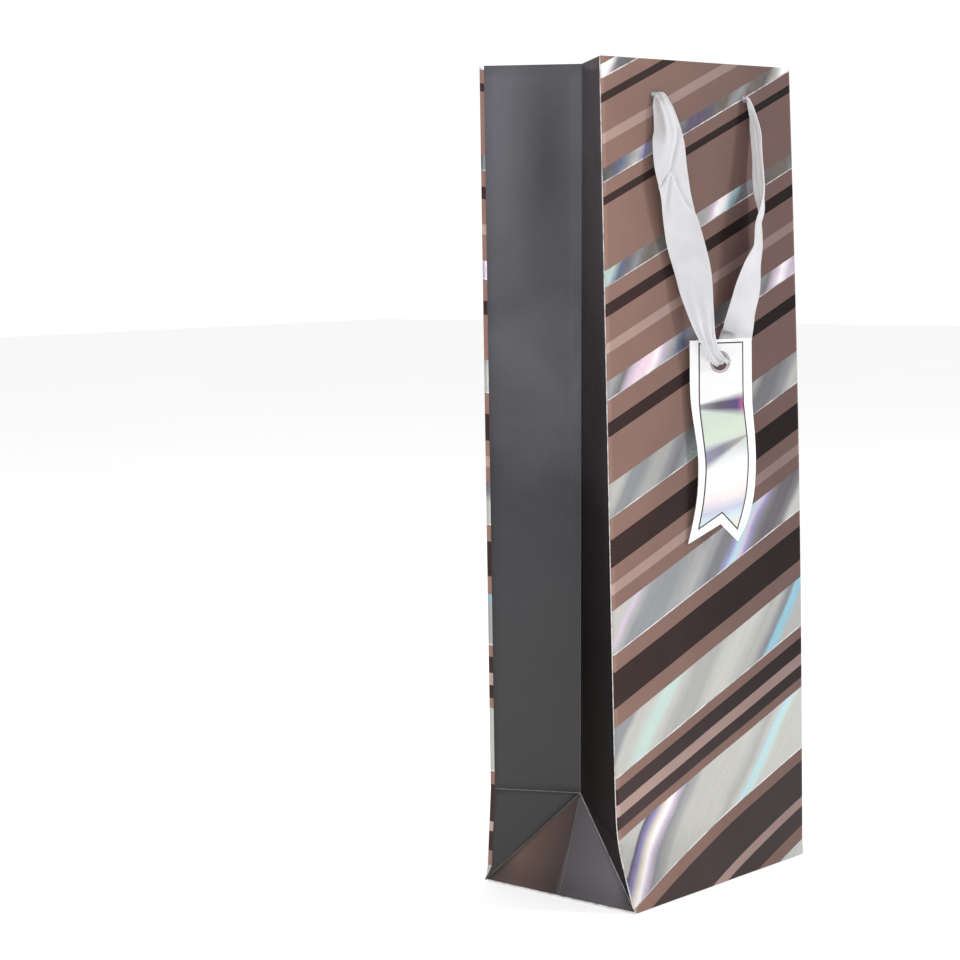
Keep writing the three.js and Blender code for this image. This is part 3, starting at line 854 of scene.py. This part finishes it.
def foot_grid(side, end, top, rows=14, columns=8):
    """The sheet from a corner fold, below top, to the foot triangle's diagonal."""
    tip, corner = apex(side), base_corner(side, end)
    low = corner + (tip - corner) * FOOT_START
    s = np.linspace(0.0, 1.0, columns)[:, None]
    made = []
    for t in np.linspace(0.0, 1.0, rows):
        near = lip(side, end, FLOOR_Z + (top - FLOOR_Z) * (FOOT_START + (1 - FOOT_START) * t))
        far = low * (1 - t) + tip * t
        made.append(near * (1 - s) + far * s)
    grid = np.array(made)
    return grid if (side == "left") == (end > 0) else grid[:, ::-1]


# ---------------------------------------------------------------- pieces


def finish_piece(made, slot, bodies, replaced=(), start=None, end=None):
    """Rides one body, or, when start is given, stays unattached with its transform baked in; and takes
    the place of its CAD nodes.
    """
    if start is None:
        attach(made, bodies)
    else:
        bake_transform(made)
    if replaced:
        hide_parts(*replaced)


def make_front():
    xs = np.linspace(-HALF_W + FOLD, HALF_W - FOLD, 31)
    grid = [[(x, front_y(x, z), z) for x in xs] for z in front_levels()]
    front = printed_sheet("front_panel_paper", grid, PAPER, 1, HOLES)
    finish_piece(front, "stripe_paper", ("front_wall", "front_lower"),
                 ("front_panel", "front_lower_panel"), *FRONT_BEND)
    panel, gusset = corner_bend("right", -1)
    # What holds each side's fold: its bodies, and where it bends between them
    hold = {
        "left": ("front_wall", None, None),
        "right": (("right_front", "front_wall"), gusset, panel),
    }
    for side in SIDES:
        bodies, start, end = hold[side]
        tall = printed_sheet(f"front_{side}_fold", fold_grid(side, -1, KINK_Z, BAG_H), FOLD_PAPER, 1)
        finish_piece(tall, "stripe_paper", bodies, (), start, end)
    for side in SIDES:
        low = printed_sheet(f"front_{side}_fold_low", fold_grid(side, -1, LOW_Z, KINK_Z), FOLD_PAPER, 1)
        finish_piece(low, "stripe_paper", "front_lower")
        out = (signed(side) * 0.8, -0.6, 0.0)
        edge = [lip(side, -1, z) for z in levels(KINK_Z, BAG_H - 0.3, 5.0)]
        foot = [lip(side, -1, z) for z in levels(2.0, KINK_Z, 4.0)]
        worn_line(f"front_{side}_edge_line", edge, 0.7, out, "worn_edge", "stripe_paper", *hold[side])
        worn_line(f"front_{side}_foot_edge_line", foot, 0.7, out, "worn_edge", "stripe_paper",
                  "front_lower")


def make_back():
    rows = np.concatenate([levels(LOW_Z, CREASE_Z, 5.0), levels(CREASE_Z + 1.5, BAG_H, 7.0)])
    xs = np.linspace(HALF_W - FOLD, -HALF_W + FOLD, 27)
    grid = [[(x, back_y(x, z), z) for x in xs] for z in rows]
    back = printed_sheet("back_panel_paper", grid, PAPER, -1, HOLES)
    finish_piece(back, "stripe_paper", ("back_strip", "back_wall"),
                 ("back_panel", "back_lower_panel"), *BACK_BEND)
    for side in SIDES:
        tall = printed_sheet(f"back_{side}_fold", fold_grid(side, 1, CREASE_Z, BAG_H), FOLD_PAPER, -1)
        finish_piece(tall, "stripe_paper", ("back_wall", f"{side}_rear"), (), *corner_bend(side, 1))
        low = printed_sheet(f"back_{side}_fold_low", fold_grid(side, 1, LOW_Z, CREASE_Z), FOLD_PAPER, -1)
        finish_piece(low, "stripe_paper", "back_strip")


def corner_bend(side, end):
    """Two points either side of a corner fold: on the panel and on the gusset."""
    corner = corner_at(side, end, MIDDLE_Z)
    return corner - (signed(side) * CORNER_BEND, 0, 0), corner - (0, end * CORNER_BEND, 0)


def crease_blend(side):
    """Two points either side of the gusset crease, square to it."""
    top, bottom = CREASES[side]
    line = unit(top - bottom)
    across = np.array([0.0, -1.0, 0.0])
    across -= line * (across @ line)
    middle = (top + bottom) / 2
    return middle - across * CREASE_BEND, middle + across * CREASE_BEND


def make_gusset(side):
    """A gusset's two halves in one bent sheet, and the hem turned in at its top."""
    start, end = crease_blend(side)

    def on_front(middle):
        return middle.y < crease(side, min(max(middle.z, CREASE_Z), BAG_H))[1]

    grid = gusset_grid(side)
    # The front half takes the charcoal painted in shade and the rear half the one painted lit.
    paper = plain_sheet(f"{side}_gusset_paper", grid, PAPER, ("rear", "front"), split=on_front)
    finish_piece(paper, "gusset_paper", (f"{side}_rear", f"{side}_front"),
                 (f"gusset_{side}_rear", f"gusset_{side}_front"), start, end)
    hem = grid[grid[:, 0, 2] > HEM_LOW - 3, 2:-2] - (signed(side) * 0.5, 0.0, 0.2)
    lining = plain_sheet(f"{side}_gusset_hem_paper", hem, PAPER, ("lining",))
    finish_piece(lining, "lining_paper", (f"{side}_rear", f"{side}_front"),
                 (f"gusset_{side}_rear_hem", f"gusset_{side}_front_hem"), start, end)


def make_feet(side):
    """The foot triangle and the two small sheets between it and the corner folds."""
    for word, end, top in (("rear", 1, CREASE_Z), ("front", -1, KINK_Z)):
        # Each small sheet takes the same painted lit or shaded charcoal as its half of the gusset.
        made = plain_sheet(f"{side}_{word}_foot_paper", foot_grid(side, end, top), PAPER, (word,))
        finish_piece(made, "gusset_paper", f"{side}_{word}_foot", (f"gusset_{side}_{word}_foot",))
    tip, back, front = apex(side), base_corner(side, 1), base_corner(side, -1)
    rows = []
    for t in np.linspace(0.0, 0.985, 16):
        row = []
        for share in np.linspace(0.0, 1.0, 17):
            base = back * (1 - share) + front * share
            dent = (1 - abs(2 * share - 1)) * math.sin(math.pi * t) * FOOT_DENT
            row.append(base * (1 - t) + tip * t - (signed(side) * dent, 0.0, 0.0))
        rows.append(row if side == "left" else row[::-1])
    foot = plain_sheet(f"{side}_foot_paper", rows, PAPER, ("foot",))
    finish_piece(foot, "gusset_paper", f"{side}_foot", (f"gusset_{side}_foot",))


def make_hems():
    """Card stiffeners and the turned-in hems round the mouth of the front and back."""
    for word, surface, facing in (("front", front_y, 1), ("back", back_y, -1)):
        card = panel_grid(surface, facing, HEM_LOW + 2, BAG_H - 0.8, PAPER + 0.02)
        made = plain_sheet(f"{word}_stiffener_card", card, STIFFENER - 0.04, ("card",), "card", HOLES)
        finish_piece(made, "stiffener_card", f"{word}_wall", (f"{word}_stiffener",))
        hem = panel_grid(surface, facing, HEM_LOW, BAG_H - 0.1, PAPER + STIFFENER)
        made = plain_sheet(f"{word}_hem_paper", hem, PAPER, ("lining",), "lining", HOLES)
        finish_piece(made, "lining_paper", f"{word}_wall", (f"{word}_hem",))


def skin(bm, rings, loop=False, caps=True):
    """Quads from each ring to the next, and on to the first in a loop. caps close the two ends."""
    for one, two in zip(rings, rings[1:] + rings[:1] if loop else rings[1:]):
        for k in range(len(one)):
            n = (k + 1) % len(one)
            bm.faces.new((one[k], one[n], two[n], two[k]))
    if caps and not loop:
        bm.faces.new(rings[0][::-1])
        bm.faces.new(rings[-1])


RIDGE = [(-0.5, 0.0), (-0.25, 0.7), (0.0, 1.0), (0.25, 0.7), (0.5, 0.0), (0.0, -1.0)]


def worn_line(name, points, width, out, material, slot, bodies, start=None, end=None, lift=0.1):
    """A low rounded ridge where a fold has worn pale. It stands out by lift."""
    points, out = np.asarray(points, float), unit(out)
    wide = unit(np.cross(out, unit(np.gradient(points, axis=0))))
    bm = bmesh.new()
    rings = []
    for place, across in zip(points, wide):
        rings.append([bm.verts.new((place + across * (a * width) + out * (h * lift)) * MM)
                      for a, h in RIDGE])
    skin(bm, rings)
    bmesh.ops.recalc_face_normals(bm, faces=bm.faces[:])
    made = object_from(bm, name, [material], sharp=80.0)
    finish_piece(made, slot, bodies, (), start, end)


def make_worn_lines(side):
    s, tip = signed(side), apex(side)
    start, end = crease_blend(side)
    back, front = base_corner(side, 1), base_corner(side, -1)
    middle = np.array([s * BASE_X, 0.0, FLOOR_Z])
    dented = [middle + (tip - middle) * t - (s * math.sin(math.pi * t) * FOOT_DENT, 0.0, 0.0)
              for t in np.linspace(0.02, 0.96, 24)]

    def line(a, b, count=24):
        t = np.linspace(0.0, 1.0, count)[:, None]
        return a * (1 - t) + b * t

    worn_line(f"{side}_crease_line", line(tip, CREASES[side][0], 60), 0.35, (s, 0, 0), "crease",
              "gusset_paper", (f"{side}_rear", f"{side}_front"), start, end, 0.08)
    worn_line(f"{side}_level_crease_line", line(lip(side, 1, CREASE_Z), tip), 0.4,
              (s * 0.8, -0.6, 0), "crease", "gusset_paper", f"{side}_rear_foot")
    for word, points, width, up, material, lift in (
        ("front_diagonal", line(front, tip), 0.55, 0.4, "worn", 0.14),
        ("rear_diagonal", line(back, tip), 0.35, 0.4, "crease", 0.1),
        ("base", line(back, front), 0.5, 0.3, "worn_edge", 0.1),
        ("middle", dented, 0.3, 0.3, "crease", 0.06),
    ):
        worn_line(f"{side}_{word}_line", points, width, (s * 0.9, 0, up), material,
                  "gusset_paper", f"{side}_foot", lift=lift)


# ---------------------------------------------------------------- ribbons and tag


def smooth_path(stations, step):
    """Catmull-Rom through rows of numbers, the first three a place in mm, about step mm apart."""
    rows = np.asarray(stations, float)
    rows = np.vstack([2 * rows[0] - rows[1], rows, 2 * rows[-1] - rows[-2]])
    made = []
    for k in range(1, len(rows) - 2):
        a, b, c, d = rows[k - 1:k + 3]
        count = max(2, int(np.linalg.norm(c[:3] - b[:3]) / step))
        for t in np.arange(count) / count:
            made.append(0.5 * (2 * b + (c - a) * t + (2 * a - 5 * b + 4 * c - d) * t**2
                               + (3 * b - a - 3 * c + d) * t**3))
    made.append(rows[-2])
    return np.array(made)


def wrinkle_height(wrinkles, u, travel, width):
    """How high the wrinkles stand at u across and travel along the ribbon."""
    total = 0.0
    for (u0, start), (u1, finish), height, spread in wrinkles:
        part = (travel - start) / (finish - start)
        if 0.0 <= part <= 1.0:
            ends = math.sin(math.pi * part) ** 0.5
            off = (u - u0 - (u1 - u0) * part) * width
            total += height * ends * math.exp(-((off / spread) ** 2))
    return total


def ribbon(name, stations, body, node, wrinkles=(), across_steps=26):
    """A strip of satin swept through stations of (x, y, z, width, turn in plan, roll, cup). A
    wrinkle runs between two places (u across, distance along), with its height and spread; u is
    -0.5 to 0.5. Returns the piece and its length in mm."""
    rows = smooth_path(stations, PICOT / 2)
    place, width = rows[:, :3], rows[:, 3]
    turn, tilt, cup = np.radians(rows[:, 4]), np.radians(rows[:, 5]), rows[:, 6]
    tangent = unit(np.gradient(place, axis=0))
    wide = np.stack([np.cos(turn) * np.cos(tilt), np.sin(turn) * np.cos(tilt), np.sin(tilt)], axis=1)
    wide = unit(wide - tangent * np.sum(wide * tangent, axis=1, keepdims=True))
    normal = np.cross(wide, tangent)
    travel = np.concatenate([[0.0], np.cumsum(np.linalg.norm(np.diff(place, axis=0), axis=1))])
    share = np.linspace(-0.5, 0.5, across_steps + 1)
    bm = bmesh.new()
    weave = []
    rings = []
    for k in range(len(rows)):
        picot = PICOT_REACH * (1 if k % 2 else -1)
        gather = 1.0 - min(width[k] / RIBBON_W, 1.0)
        upper, lower = [], []
        for u in share:
            reach = u * width[k]
            if abs(u) > 0.49:
                reach += math.copysign(picot * (1 - gather), u)
            bow = cup[k] * (1 - (2 * u) ** 2)
            pleat = gather * 1.1 * math.cos(u * math.pi * 5) * min(width[k] / 6.0, 1.0)
            fold = wrinkle_height(wrinkles, u, travel[k], width[k])
            at = place[k] + wide[k] * reach + normal[k] * (bow + pleat + fold)
            upper.append(bm.verts.new((at + normal[k] * RIBBON_THICK / 2) * MM))
            lower.append(bm.verts.new((at - normal[k] * RIBBON_THICK / 2) * MM))
            weave += [(u * RIBBON_W * MM, travel[k] * MM, 0.0)] * 2
        rings.append(upper + lower[::-1])
    skin(bm, rings, caps=False)
    for ring in (rings[0], rings[-1]):
        for j in range(across_steps):
            bm.faces.new((ring[j], ring[j + 1], ring[-2 - j], ring[-1 - j]))
    bmesh.ops.recalc_face_normals(bm, faces=bm.faces[:])
    made = object_from(bm, name, ["satin"], sharp=60.0)
    vector_attribute(made.data, "weave", weave)
    finish_piece(made, "satin_ribbon", body, (node,))
    return made, travel[-1]


def tag_point(u, v, depth):
    """A place on the tag: across from its hole, up from it, and out of its face."""
    return TAG_HOLE + TAG_U * u + TAG_OUT * depth + np.array([0.0, 0.0, v])


def make_front_handle():
    left_face, right_face = front_y(-HOLE_X, HOLE_Z), front_y(HOLE_X, HOLE_Z)
    stations = [
        (-30.0, left_face + 1.0, 344.8, 3.4, -34, 0, 0.0),
        (-29.8, left_face - 1.4, 345.1, 4.6, -36, 0, -0.4),
        (-29.3, -33.7, 343.4, 6.2, -38, 0, -0.8),
        (-29.1, -34.6, 340.2, 8.0, -38, 0, -1.2),
        (-28.4, -35.2, 336.9, 9.4, -36, 0, -1.3),
        (-27.7, -36.3, 330.1, 12.0, -32, 0, -1.1),
        (-28.1, -37.0, 325.4, 14.2, -28, 0, -0.8),
        (-28.2, -37.5, 321.1, 15.0, -25, 0, -0.5),
        (-27.9, -38.0, 314.7, 15.4, -22, 0, 0.0),
        (-26.4, -38.6, 306.8, 15.0, -19, 0, 0.3),
        (-25.3, -38.8, 301.5, 14.8, -19, 0, 0.4),
        (-23.9, -39.0, 295.0, 15.4, -23, 0, 0.4),
        (-22.3, -39.5, 288.6, 16.0, -29, 0, 0.4),
        (-20.4, -39.9, 282.0, 16.3, -33, 0, 0.4),
        (-16.6, -40.6, 271.1, 16.0, -32, 0, 0.4),
        (-14.6, -41.0, 262.8, 15.2, -29, 0, 0.3),
        (-12.8, -41.6, 254.4, 12.8, -27, 0, 0.3),
        (-11.0, -42.5, 246.2, 9.8, -28, 0, 0.4),
        (-10.1, -43.3, 241.9, 7.8, -30, 0, 0.4),
        (*tag_point(-6.2, 7.0, 3.8), 6.6, -30, 0, 0.4),
        (*tag_point(-4.4, 3.2, 3.8), 6.2, -28, 0, 0.6),
        (*tag_point(-1.4, 0.4, 3.3), 5.4, -28, 0, 0.8),
        (*tag_point(1.4, -0.6, 2.0), 4.8, -28, 0, 0.6),
        (*tag_point(2.2, -0.4, 0.0), 4.4, -28, 0, 0.4),
        (*tag_point(2.6, 1.0, -2.2), 5.2, -28, 0, 0.2),
        (*tag_point(6.0, 5.6, -4.6), 9.4, -26, 0, 0.2),
        (12.7, -42.1, 240.5, 14.6, -24, 0, 0.2),
        (14.2, -42.5, 245.1, 15.4, -19, 0, 0.2),
        (16.8, -43.0, 253.4, 16.0, -8, 0, 0.2),
        (20.0, -43.5, 261.8, 16.0, -5, 0, 0.2),
        (22.9, -44.0, 270.3, 16.0, 6, 0, 0.3),
        (26.0, -44.5, 277.9, 15.6, 19, 0, 0.5),
        (26.7, -44.7, 283.0, 15.0, 22, 0, 0.8),
        (26.8, -44.6, 289.4, 14.6, 25, 0, 0.9),
        (28.0, -44.3, 296.2, 13.0, 38, 0, 2.0),
        (28.6, -43.6, 304.0, 11.4, 56, 0, 1.8),
        (28.8, -43.0, 311.6, 10.2, 62, 0, 1.4),
        (29.5, -42.2, 317.6, 9.2, 61, 0, 1.1),
        (30.2, -41.4, 322.8, 8.8, 62, 0, 1.0),
        (31.0, -40.2, 330.4, 8.8, 64, 0, 0.9),
        (30.8, -38.2, 338.0, 7.6, 62, 0, 0.6),
        (30.4, -37.3, 342.4, 5.6, 54, 0, 0.4),
        (30.1, right_face - 1.1, 345.3, 3.6, 40, 0, 0.2),
        (30.0, right_face + 1.0, 345.0, 3.0, 20, 0, 0.0),
    ]
    wrinkles = [
        ((-0.08, 5.0), (-0.12, 25.0), -1.9, 1.3),
        ((0.45, 16.0), (0.0, 36.0), 1.2, 0.8),
        ((0.0, 35.0), (-0.5, 42.0), 1.1, 0.7),
        ((0.0, 35.0), (0.5, 57.0), 1.1, 0.8),
        ((0.0, 36.0), (-0.42, 53.0), 1.0, 0.8),
    ]
    return ribbon("front_ribbon", stations, "front_handle", "front_ribbon_handle", wrinkles)


def make_back_handle():
    stations = [
        (30, 40.0, 345, 5.0, 180, 0, 0.0),
        (30.2, 41.6, 341, 8.0, 180, 0, 0.6),
        (30.5, 42.6, 333, 11.5, 180, 0, 0.8),
        (30.8, 43.6, 322, 14.0, 180, 0, 0.6),
        (30.6, 44.2, 310, 16.0, 180, 0, 0.3),
        (29.6, 44.5, 297, 16.0, 180, 6, 0.2),
        (27.2, 44.6, 283, 16.0, 180, 16, 0.2),
        (22.6, 44.8, 268, 16.0, 180, 32, 0.2),
        (15.0, 45.0, 255, 16.0, 180, 52, 0.3),
        (5.4, 45.2, 247.6, 16.0, 180, 78, 0.4),
    ]
    mirrored = [(-x, y, z, width, turn, 180 - roll, cup)
                for x, y, z, width, turn, roll, cup in reversed(stations)]
    return ribbon("back_ribbon", [*stations, *mirrored], "back_handle", "back_ribbon_handle")


def make_knot(name, x, y, facing, body, node):
    """A flattened overhand knot inside the panel, with two tails and a gathered neck through the
    hole. facing is 1 at the front and -1 at the back."""
    bm = bmesh.new()
    weave = []

    def tube(points, wide, thick, lobes=0):
        points = np.asarray(points, float)
        rings = []
        for k, (at, ahead) in enumerate(zip(points, unit(np.gradient(points, axis=0)))):
            first = unit(np.cross(ahead, (0.31, 1.0, 0.17)))
            second = np.cross(ahead, first)
            ring = []
            for turn in np.linspace(0, 2 * math.pi, 14, endpoint=False):
                ruffle = 1.0 + (0.14 * math.cos(lobes * turn) if lobes else 0.0)
                offset = (first * math.cos(turn) * wide + second * math.sin(turn) * thick) * ruffle
                ring.append(bm.verts.new((at + offset) * MM))
                weave.append((turn * wide * MM, k * 0.5 * MM, 0.0))
            rings.append(ring)
        skin(bm, rings)

    t = np.linspace(0.0, 2 * math.pi * 0.985, 90)
    trefoil = np.stack([
        x + KNOT_R * (np.sin(t) + 2 * np.sin(2 * t)),
        y + facing * (1.5 - 0.45 * np.sin(3 * t)),
        HOLE_Z + KNOT_R * (np.cos(t) - 2 * np.cos(2 * t)),
    ], axis=1)
    tube(trefoil, 1.3, 0.45)
    neck = [(x, y + facing * d, HOLE_Z) for d in np.linspace(-0.7, 1.3, 10)]
    tube(neck, NECK_R, NECK_R, lobes=5)
    s = np.linspace(0.0, 1.0, 12)
    for side in (-1, 1):
        tail = np.stack([x + side * (1.5 + 3.4 * s), y + facing * (1.2 + 0.3 * s - 0.2 * s * s),
                         HOLE_Z - 2.0 - 8.5 * s], axis=1)
        tube(tail, 2.2, 0.35)
    bmesh.ops.recalc_face_normals(bm, faces=bm.faces[:])
    made = object_from(bm, name, ["satin"], sharp=70.0)
    vector_attribute(made.data, "weave", weave)
    finish_piece(made, "satin_ribbon", body, (node,))


def side_curve(points):
    """A smooth run through one side's outline points."""
    return [(u, v) for u, v, _ in smooth_path([(*point, 0.0) for point in points], 8.0)]


def circle(radius, count):
    turns = np.linspace(0, 2 * math.pi, count, endpoint=False)
    return [(radius * math.cos(t), radius * math.sin(t)) for t in turns]


def tag_outline(left, notch, right):
    """A wavy pennant: down the left side, the swallow-tail, and up the right side."""
    return [*side_curve(left), notch, *side_curve(right)]


CARD = (
    [(-14.3, 9.6), (-14.3, -2), (-14.2, -14), (-13, -24.4), (-11, -37), (-10.6, -46.5), (-11.2, -57.4),
     (-13.2, -68.3), (-15.8, -78.5)],
    (-0.2, -70.6),
    [(8, -78.6), (12.3, -71), (15, -63), (16.5, -54.2), (17, -42.4), (16.5, -31.2), (15.4, -18.4),
     (15.2, -4), (15.2, 10)],
)
FOIL_FACE = (
    [(-9.7, 7.9), (-9.7, -5), (-9.7, -18), (-8.2, -30.7), (-6.9, -41.7), (-6.9, -49.5), (-8.2, -61.3),
     (-10.4, -71.6)],
    (0.6, -65.2),
    [(7.7, -72.6), (10.6, -63.2), (12.3, -54.4), (13, -42.4), (12.3, -31.2), (10.8, -18.4),
     (10.6, -4), (10.6, 8)],
)


def slab(name, outline, hole, low, high, material, slot, replaced):
    """A flat piece of the tag between two depths, with a round hole."""
    bm = bmesh.new()
    edges = []
    for loop in (outline, circle(hole, 36)):
        verts = [bm.verts.new(tag_point(u, v, low) * MM) for u, v in loop]
        edges += [bm.edges.new((a, b)) for a, b in zip(verts, verts[1:] + verts[:1])]
    bmesh.ops.triangle_fill(bm, use_beauty=True, use_dissolve=False, edges=edges,
                            normal=Vector(TAG_OUT))
    grown = bmesh.ops.extrude_face_region(bm, geom=bm.faces[:])
    moved = [v for v in grown["geom"] if isinstance(v, bmesh.types.BMVert)]
    bmesh.ops.translate(bm, verts=moved, vec=Vector(TAG_OUT * (high - low) * MM))
    bmesh.ops.recalc_face_normals(bm, faces=bm.faces[:])
    made = object_from(bm, name, [material])
    finish_piece(made, slot, "tag", replaced)


def flat_ring(name, loop, width, low, high, material, slot):
    """A thin printed line that follows a closed loop on the tag."""
    loop = np.asarray(loop, float)
    ahead = unit(np.roll(loop, -1, axis=0) - loop)
    middle = unit(ahead + np.roll(ahead, 1, axis=0))
    out = np.stack([-middle[:, 1], middle[:, 0]], axis=1)
    square = np.stack([-ahead[:, 1], ahead[:, 0]], axis=1)
    reach = width / np.maximum(np.sum(out * square, axis=1, keepdims=True), 0.35)
    wider = loop - out * reach
    bm = bmesh.new()
    rings = []
    for points, depth in ((loop, low), (wider, low), (wider, high), (loop, high)):
        rings.append([bm.verts.new(tag_point(u, v, depth) * MM) for u, v in points])
    skin(bm, rings, loop=True)
    bmesh.ops.recalc_face_normals(bm, faces=bm.faces[:])
    made = object_from(bm, name, [material])
    finish_piece(made, slot, "tag")


def make_tag():
    card, face = tag_outline(*CARD), tag_outline(*FOIL_FACE)
    slab("tag_white_card", card, TAG_HOLE_R, -TAG_HALF, TAG_HALF, "tag_white", "tag_card",
         ("tag_card",))
    slab("tag_foil", face, TAG_RING_R, TAG_HALF, FOIL_OUT, "tag_foil", "silver_foil",
         ("tag_foil_face",))
    flat_ring("tag_outline_line", face, 0.6, 0.2, 0.32, "tag_line", "tag_card")
    flat_ring("tag_hole_ring", circle(TAG_HOLE_R + 0.2, 48), 0.8, 0.2, 0.36, "tag_ring", "tag_card")


def finish_cad_nodes():
    """Paper and board finishes for the CAD pieces that stay."""
    board = fibre("base_board_card", (0.66, 0.64, 0.60), (0.50, 0.48, 0.44), rest=False)
    lining = fibre("flap_lining", (0.80, 0.79, 0.77), (0.66, 0.65, 0.63), rest=False)
    under = fibre("bottom_charcoal", (0.085, 0.08, 0.085), (0.045, 0.04, 0.045), rest=False, rough=0.5)
    finishes = {
        "base_board": board,
        "bottom_outer_flap": under,
        "bottom_inner_flap": lining,
        "bottom_side_flap_left": lining,
        "bottom_side_flap_right": lining,
        "side_seam_flap": lining,
    }
    for name, material in finishes.items():
        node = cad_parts[name]
        for slot in node.material_slots:
            slot.material = material


# ---------------------------------------------------------------- stage, lights and camera


def make_stage():
    bm = bmesh.new()
    bmesh.ops.create_grid(bm, x_segments=8, y_segments=8, size=6.0)
    floor = object_from(bm, "floor", [])
    floor.location = (0, 0, -0.0004)
    shader = Shader("pale_floor", Roughness=0.9, Specular_IOR_Level=0.1,
                    Emission_Color=(1, 1, 1, 1), Emission_Strength=0.46)
    tone = shader.noise(shader.local(), 3.0, 2.0)
    shader.link("Base Color", shader.ramp(tone, [(0.3, (0.90, 0.90, 0.90)), (0.7, (0.93, 0.93, 0.93))]))
    floor.data.materials.append(shader.material)


def make_world():
    """A white room: brighter where the camera sees it than as a light on the bag."""
    world = bpy.data.worlds.new("studio")
    bpy.context.scene.world = world
    world.use_nodes = True
    tree = world.node_tree
    background = tree.nodes["Background"]
    background.inputs["Color"].default_value = (1, 1, 1, 1)
    path = tree.nodes.new("ShaderNodeLightPath")
    strength = tree.nodes.new("ShaderNodeMapRange")
    strength.inputs["To Min"].default_value = 0.52
    strength.inputs["To Max"].default_value = 1.05
    tree.links.new(path.outputs["Is Camera Ray"], strength.inputs["Value"])
    tree.links.new(strength.outputs["Result"], background.inputs["Strength"])


def area_light(name, place, target, size, power):
    data = bpy.data.lights.new(name, "AREA")
    data.shape = "RECTANGLE"
    data.size, data.size_y = size
    data.energy = power
    light = bpy.data.objects.new(name, data)
    light.location = place
    light.rotation_mode = "QUATERNION"
    light.rotation_quaternion = (Vector(target) - Vector(place)).to_track_quat("-Z", "Y")
    bpy.context.scene.collection.objects.link(light)


def make_lights():
    middle = (0, 0, 0.2)
    area_light("key_softbox", (0.9, -1.3, 0.95), middle, (0.3, 0.4), 12.4)
    area_light("left_softbox", (-1.4, -0.55, 0.6), middle, (0.7, 1.2), 5.1)
    area_light("top_softbox", (0.0, 0.2, 1.6), middle, (1.2, 1.2), 5.0)


def make_camera():
    """The photograph's view: from the front left, at about the height of the handles."""
    azimuth, elevation, roll = math.radians(-48.12), math.radians(4.993), math.radians(-0.915)
    distance, target = 0.9584, Vector((-0.1093, 0.0, 0.1980))
    ca, sa = math.cos(azimuth), math.sin(azimuth)
    ce, se = math.cos(elevation), math.sin(elevation)
    back = Vector((sa * ce, -ca * ce, se))
    level = Vector((ca, sa, 0.0))
    up = back.cross(level)
    right = level * math.cos(roll) + up * math.sin(roll)
    top = up * math.cos(roll) - level * math.sin(roll)
    data = bpy.data.cameras.new("camera")
    data.sensor_width = 36.0
    data.lens = 87.11
    data.shift_y = -0.03
    camera = bpy.data.objects.new("camera", data)
    turn = Matrix((right, top, back)).transposed().to_4x4()
    camera.matrix_world = Matrix.Translation(target + back * distance) @ turn
    bpy.context.scene.collection.objects.link(camera)
    bpy.context.scene.camera = camera


make_camera()
make_world()
make_lights()
make_stage()

make_front()
make_back()
for side in SIDES:
    make_gusset(side)
    make_feet(side)
    make_worn_lines(side)
make_hems()
front_ribbon, front_length = make_front_handle()
back_ribbon, back_length = make_back_handle()
for side in SIDES:
    x = signed(side) * HOLE_X
    make_knot(f"front_knot_{side}_ribbon", x, front_y(x, HOLE_Z) + KNOT_INSET, 1, "front_wall",
              f"front_knot_{side}")
    make_knot(f"back_knot_{side}_ribbon", x, BACK_Y - KNOT_INSET, -1, "back_wall", f"back_knot_{side}")
make_tag()
finish_cad_nodes()

scene = bpy.context.scene
scene.view_settings.view_transform = "Standard"
scene.view_settings.look = "None"
